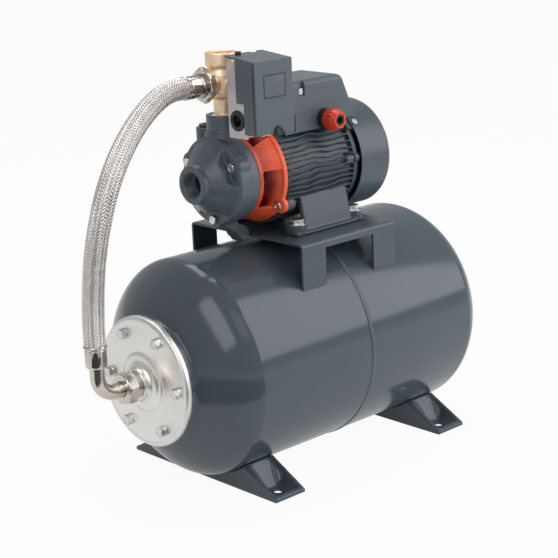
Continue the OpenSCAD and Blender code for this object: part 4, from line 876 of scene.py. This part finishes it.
dome = turned("dome", [(20, -148), (22.3, -149.6), (28.5, -143.6), (34, -138.6), (39.5, -133.6),
                       (44, -129.2), (46.8, -126.4), (47.6, -124), (47.6, -120), (20, -120)],
              SHAFT, 128, loop=True)
body = cast("casing_body", [whole_copy("pump_casing"), dome], 0.95, 3,
            [pocket(y, z) for y, z in CASING_BOLTS])
thread = thread_rings("inlet_thread", laid("-x", (-156.8, 0, PUMP_Z)))
piece("pump_casing", merged("pump_casing", [body, thread]))
fastened("casing_bolts", hex_bolt("casing_bolt", 3, 10, 4, 35),
         [(-126, y, PUMP_Z + z) for y, z in CASING_BOLTS], "-x", 9)

# Lantern bracket and the bolts at both ends of the motor
FRONT_EARS, REAR_EARS = (58.5, (90, 215, 325)), (56.5, (5, 175, 230, 310))
bell = turned("bell", [(27, -87), (30, -87), (38, -80), (46, -73.4), (52, -68), (56, -63),
                       (53, -62), (49, -67), (43, -72.4), (35, -79), (27, -85)], SHAFT, loop=True)
piece("lantern_bracket", cast("lantern_piece", [whole_copy("lantern_bracket"), bell], 0.95, 3))
ends = [fasteners(name, hex_bolt("frame_bolt", 3, 10, 4, 19), polar(*ears, x, PUMP_Z), axis, seed)
        for name, ears, x, axis, seed in (("frame_bolts_front", FRONT_EARS, -66, "-x", 3),
                                          ("frame_bolts_rear", REAR_EARS, 54, "x", 6))]
piece("frame_bolts", merged("frame_bolts", ends))

# Motor frame
FRAME_X0, FRAME_X1, FRAME_R = -59.7, 48.0, 56.0


def fin_tree():
    """Fins set round the frame that waver a little along their length, as cast ones do."""
    tree, value = new_tree("cooling_fins", {
        "Fins": "Int", "First angle": "Float", "Pitch": "Float", "Waver": "Float",
        "Wave scale": "Float", "Finish": "Material"})
    points = add_node(tree, "GeometryNodePoints", {"Count": value["Fins"]})
    index = Number(tree, add_node(tree, "GeometryNodeInputIndex"))
    put = add_node(tree, "GeometryNodeInstanceOnPoints", {
        "Points": points, "Instance": value["Geometry"],
        "Rotation": vector_of(tree, index * value["Pitch"] + value["First angle"], 0.0, 0.0)})
    real = add_node(tree, "GeometryNodeRealizeInstances", {"Geometry": put})
    here = add_node(tree, "GeometryNodeInputPosition")
    wave = add_node(tree, "ShaderNodeTexNoise", {
        "Vector": here, "Scale": value["Wave scale"], "Detail": 1.0})
    spot = add_node(tree, "ShaderNodeSeparateXYZ", {0: here}).outputs
    # Sideways round the shaft, so the fin's foot stays on the frame
    aside = vector_of(tree, 0.0, Number(tree, spot["Z"]) * -1.0, spot["Y"])
    aside = vector_math(tree, "SCALE", vector_math(tree, "NORMALIZE", aside),
                        Scale=(Number(tree, wave) - 0.5) * value["Waver"])
    move = add_node(tree, "GeometryNodeSetPosition", {"Geometry": real, "Offset": aside})
    raised = add_node(tree, "GeometryNodeTransform", {
        "Geometry": move, "Translation": (0, 0, PUMP_Z * MM)})
    return end_tree(tree, raised, value["Finish"])


def motor_frame():
    # A fin's section as [round the shaft, out from the shaft], thin at its tip
    section = [(-1.15, 55.2), (1.15, 55.2), (1.0, 56.6), (0.8, 60.4), (0.5, 61.2), (0, 61.45),
               (-0.5, 61.2), (-0.8, 60.4), (-1.0, 56.6)]
    rings = [np.array([(x, out, around) for around, out in section], float)
             for x in np.linspace(FRAME_X0 + 1, FRAME_X1 - 1, 44)]
    fin = lofted("fin", rings, sharp_deg=40)
    fins = run_tree(add_object("fins", fin), fin_tree(), {
        "Fins": 39, "First angle": math.radians(138), "Pitch": math.radians(7.0),
        "Waver": 15 * MM, "Wave scale": 24.0, "Finish": MOTOR_PAINT})
    parts = [turned("tube", [(52.23, FRAME_X0), (FRAME_R, FRAME_X0), (FRAME_R, FRAME_X1),
                             (52.23, FRAME_X1)], SHAFT, 128, loop=True)]
    parts.append(slab("saddle", (-42, 44), (-30, 16), (PUMP_Z + 53, PUMP_Z + 58)))
    for way in (-1, 1):
        low, high = sorted((way * 47, way * 67))
        parts.append(slab("plate", (-56.5, 56.5), (low, high), (PLATFORM_TOP, PLATFORM_TOP + 4)))
        wall = [(47, -26), (54, -26), (64, -71), (57, -71)]
        parts.append(bar_along_x("wall", [(way * y, z) for y, z in wall], -38, 38))
        for x in (-BOSS_X, BOSS_X):
            parts.append(rod("boss", 10, 0, BOSS_H, laid("z", (x, way * BOSS_Y, PLATFORM_TOP))))
            low, high = sorted((way * 47, way * BOSS_Y))
            parts.append(slab("boss_root", (x - 10, x + 10), (low, high),
                              (PLATFORM_TOP, PLATFORM_TOP + BOSS_H)))
    for ears, radius, x in ((FRONT_EARS, 8.5, FRAME_X0), (REAR_EARS, 5.8, FRAME_X1 - 13)):
        parts += [rod("ear", radius, x, x + 13, laid("x", (0, y, z)))
                  for _, y, z in polar(*ears, 0, PUMP_Z)]
    body = cast("frame_body", parts, 1.3, 2)
    piece("motor_frame", merged("motor_frame", [body, fins]))


motor_frame()
eased("rear_end_shield", "end_shield_piece", 0.6, 2)
eased("fan_cover", "fan_cover_piece", 0.5, 2, PRESSED_PAINT)

# Terminal box and its cable gland
eased("terminal_cover", "terminal_cover_piece", 1.0, 3)
GLAND = laid("-y", (18, -42, PUMP_Z + 56))
piece("gland_body", turned("gland_body", [(6.5, -8), (8, -8), (8, 0), (12.2, 0), (12.2, 8), (9, 8),
                                          (9, 20), (6.5, 20)], GLAND, 64, loop=True, edge=0.5))


def gland_nut():
    """A domed nut with grip ribs round its skirt."""
    sides = 160
    ribs = 0.85 * (np.abs(((angles(sides) / (2 * np.pi) * 16) % 1) - 0.5) * 2) ** 0.8
    outline = [(9.03, 8), (11.9, 8), (12.8 - ribs, 9), (12.8 - ribs, 19.4),
               (12.4 - 0.8 * ribs, 20.6), (11.2, 22.8), (10.3, 24.6), (9.8, 25.4), (9.5, 26.6),
               (9.1, 27), (7.3, 27), (6.6, 26.4), (6.5, 20.3), (9.03, 20.3)]
    return turned("gland_nut", outline, GLAND, sides, loop=True, sharp_deg=40)


piece("gland_nut", gland_nut())
piece("gland_seal", turned("gland_seal", [(4.15, 12), (6.47, 12), (6.47, 26.4), (4.15, 26.4)],
                           GLAND, 48, loop=True, edge=0.5))

# Five-way fitting
SWITCH_X = -102
barrel = turned("barrel", [(0, 93), (13, 93), (17.2, 96), (19, 100), (19.4, 111), (19, 121),
                           (17.2, 126), (13, 129), (0, 129)], laid("z", (SWITCH_X, 0, PUMP_Z)))
body = cast("fitting_body", [whole_copy("five_way_fitting"), barrel], 0.7, 3)
thread = thread_rings("top_thread", laid("z", (SWITCH_X, 0, PUMP_Z + 146)))
piece("five_way_fitting", add_object("fitting_piece", merged("five_way_fitting", [body, thread])))

# Elbow, union nut and nipple
eased("elbow_pipe", "elbow_piece", 0.4, 2)
UNION = laid("x", (-276, 0, TANK_Z), 18)
rings = hex_rings(34, 0, 13.5) + rings_at(72, (14, 13.5), (13.23, 12.7), (13.23, 6), (8.8, 6),
                                          (8.8, 1), (9.8, 0))
piece("union_nut", lofted("union_nut", rings, UNION, loop=True, sharp_deg=28))
nipple = [(6.5, 10.2), (13, 10.2), (13, 13.7), (15.2, 13.7), (15.9, 14.4), (15.9, 19.8), (13, 20),
          (13, 28.5), (6.5, 28.5)]
piece("flange_nipple", turned("flange_nipple", nipple, UNION, loop=True, edge=0.3))

# Pressure switch
eased("switch_base", "switch_base_piece", 0.3, 2)
eased("switch_cover", "switch_cover_piece", 1.5, 4)
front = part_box("switch_cover")[0][1] / MM


def label_frame():
    """Dark lines let into the cover: round the blank label place, and a black strip of painted
    shade where its front wraps, for the shaded groove between front and side.
    """
    x, z, side, rail = (-121.4, -88.1), (PUMP_Z + 101.6, PUMP_Z + 127.4), 1.5, 0.8
    y = (front - 0.06, front + 0.7)
    low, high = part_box("switch_cover")
    return joined("label_frame", [
        # Painted shade: a black strip where the groove between the front and the side lies in shade
        slab("seam", (low[0] / MM - 0.05, low[0] / MM + 0.5), (front + 2.2, front + 4.4),
             (low[2] / MM + 1.6, high[2] / MM - 8)),
        slab("side", (x[0], x[0] + side), y, z), slab("side", (x[1] - side, x[1]), y, z),
        slab("rail", (x[0] + side, x[1] - side), y, (z[0], z[0] + rail)),
        slab("rail", (x[0] + side, x[1] - side), y, (z[1] - rail, z[1]))])


def cover_screws():
    """The slotted cap in front and the small screw on top that hold the switch cover."""
    cap = turned("cap", [(0, -8), (1.9, -8), (1.9, 0.1), (5.5, 0.1), (5.5, 2.2), (4.9, 3), (3.4, 3),
                         (3.1, 2.3), (0, 2.3)],
                 laid("-y", (SWITCH_X, front, PUMP_Z + 64)), 64, edge=0.25)
    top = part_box("switch_cover_screws")
    high, low = top[1][2] / MM, top[1][2] / MM - 3
    small = turned("small", [(0, low - 8), (1.9, low - 8), (1.9, low), (3.6, low),
                             (3.6, high - 0.7), (2.9, high), (0, high)],
                   laid("z", (-118, -47, 0)), 48, edge=0.2)
    return joined("cover_screws", [cap, small])


dress(add_object("label_frame", label_frame()), "black_plastic")
piece("switch_cover_screws", cover_screws())


def grommets():
    """Two rubber bushes with rolled lips in the cable holes."""
    outline = [(6.5, -2.6), (7.2, -3.4), (10.6, -3.4), (11.8, -2.4), (11.6, -1.4), (10, -1.3),
               (10, 1.3), (10, 2.2), (6.5, 2.2)]
    meshes = [turned("grommet", outline, laid(axis, (x, -56, PUMP_Z + 76)), 64, True, 0.5)
              for axis, x in (("x", -129.6), ("-x", -81.4))]
    return joined("grommets", meshes)


piece("switch_grommets", grommets())

# Every CAD node that stays
for name, node in frame["nodes"].items():
    if not node.hide_render:
        node.data.materials.clear()
        node.data.materials.append(FINISH[NODE_SLOT[name]])


# Studio
def aim(azimuth_deg, elevation_deg, distance, across=0.0, over=0.0):
    """A lamp's place: out from the object at an angle, then aside and up in its own plane."""
    a, e = math.radians(azimuth_deg), math.radians(elevation_deg)
    out = Vector((math.cos(e) * math.cos(a), math.cos(e) * math.sin(a), math.sin(e)))
    side = Vector((0, 0, 1)).cross(out).normalized()
    up = out.cross(side)
    place = Vector((0, 0, 0.25)) + out * distance + side * across + up * over
    return Matrix((side, up, out)).transposed().to_quaternion(), place


def softbox(name, where, size, glow, tilt_deg=0.0, lights_matt=True):
    data = bpy.data.lights.new(name, "AREA")
    data.shape = "RECTANGLE"
    data.size, data.size_y = size
    data.energy = glow * math.pi * size[0] * size[1]
    made = bpy.data.objects.new(name, data)
    turn, made.location = where
    made.rotation_mode = "QUATERNION"
    made.rotation_quaternion = (turn.to_matrix().to_4x4()
                                @ Matrix.Rotation(math.radians(tilt_deg), 4, "Z")).to_quaternion()
    made.visible_camera = False
    made.visible_diffuse = lights_matt
    bpy.context.scene.collection.objects.link(made)


def seen_share(tree, glossy):
    """How far the camera, or a glossy or clear surface, looks at this: 0 or 1, or the share."""
    rays = tree.nodes.new("ShaderNodeLightPath").outputs
    shine = Number(tree, rays["Is Glossy Ray"]) * glossy
    seen = Number(tree, rays["Is Camera Ray"]).math("MAXIMUM", shine)
    return seen.math("MAXIMUM", rays["Is Transmission Ray"])


def stage_flat(name, ring, glow=None):
    """A flat stage piece. One that glows looks white and still takes shadows."""
    mesh = bpy.data.meshes.new(name)
    mesh.from_pydata(ring, [], [tuple(range(len(ring)))])
    made = add_object(name, mesh)
    material, tree, shader = new_material(name)
    shader.inputs["Base Color"].default_value = (0.03, 0.03, 0.03, 1)
    shader.inputs["Roughness"].default_value = 0.9
    if glow:
        tree.nodes.clear()
        matt = add_node(tree, "ShaderNodeBsdfDiffuse", {"Color": (0.96, 0.96, 0.96, 1)})
        white = add_node(tree, "ShaderNodeEmission", {"Color": (1, 1, 1, 1), "Strength": 1.0})
        mix = add_node(tree, "ShaderNodeMixShader", {
            0: seen_share(tree, 0.6) * glow, 1: matt, 2: white})
        add_node(tree, "ShaderNodeOutputMaterial", {0: mix})
    mesh.materials.append(material)
    return made


def set_studio():
    scene = bpy.context.scene
    scene.view_settings.view_transform = "Standard"
    world = bpy.data.worlds.new("studio")
    scene.world = world
    world.use_nodes = True
    tree = world.node_tree
    tree.nodes.clear()
    soft, white = [add_node(tree, "ShaderNodeBackground", {
        "Color": (1, 1, 1, 1), "Strength": strength}) for strength in (0.45, 1.0)]
    mix = add_node(tree, "ShaderNodeMixShader", {0: seen_share(tree, 0.1), 1: soft, 2: white})
    add_node(tree, "ShaderNodeOutputWorld", {0: mix})
    stage_flat("floor", [(-8, -8, 0), (8, -8, 0), (8, 8, 0), (-8, 8, 0)], 0.95)

    # A dark mat that only the bright metal mirrors, for the depth in its turned sides
    turn = np.radians(np.linspace(-176, -78, 12))
    mat = stage_flat("dark_mat", [(r * math.cos(a), r * math.sin(a), 0.0005)
                                  for r, way in ((0.46, 1), (1.35, -1)) for a in turn[::way]])
    mat.visible_camera = mat.visible_diffuse = mat.visible_shadow = False
    mat.visible_transmission = False

    # The right softbox gives the long band on the tank, the left one the patch on its head
    softbox("right_softbox", aim(-42, 25, 1.7, -0.28, 0.13), (1.22, 1.63), 2.1)
    softbox("left_softbox", aim(-160, 35, 1.7, 0.0, -0.05), (0.62, 1.4), 2.4, 41, False)
    softbox("left_fill", aim(-112, 42, 2.2), (1.0, 1.0), 0.7)
    softbox("top_softbox", aim(60, 70, 1.9), (1.2, 1.2), 3.0)


set_studio()
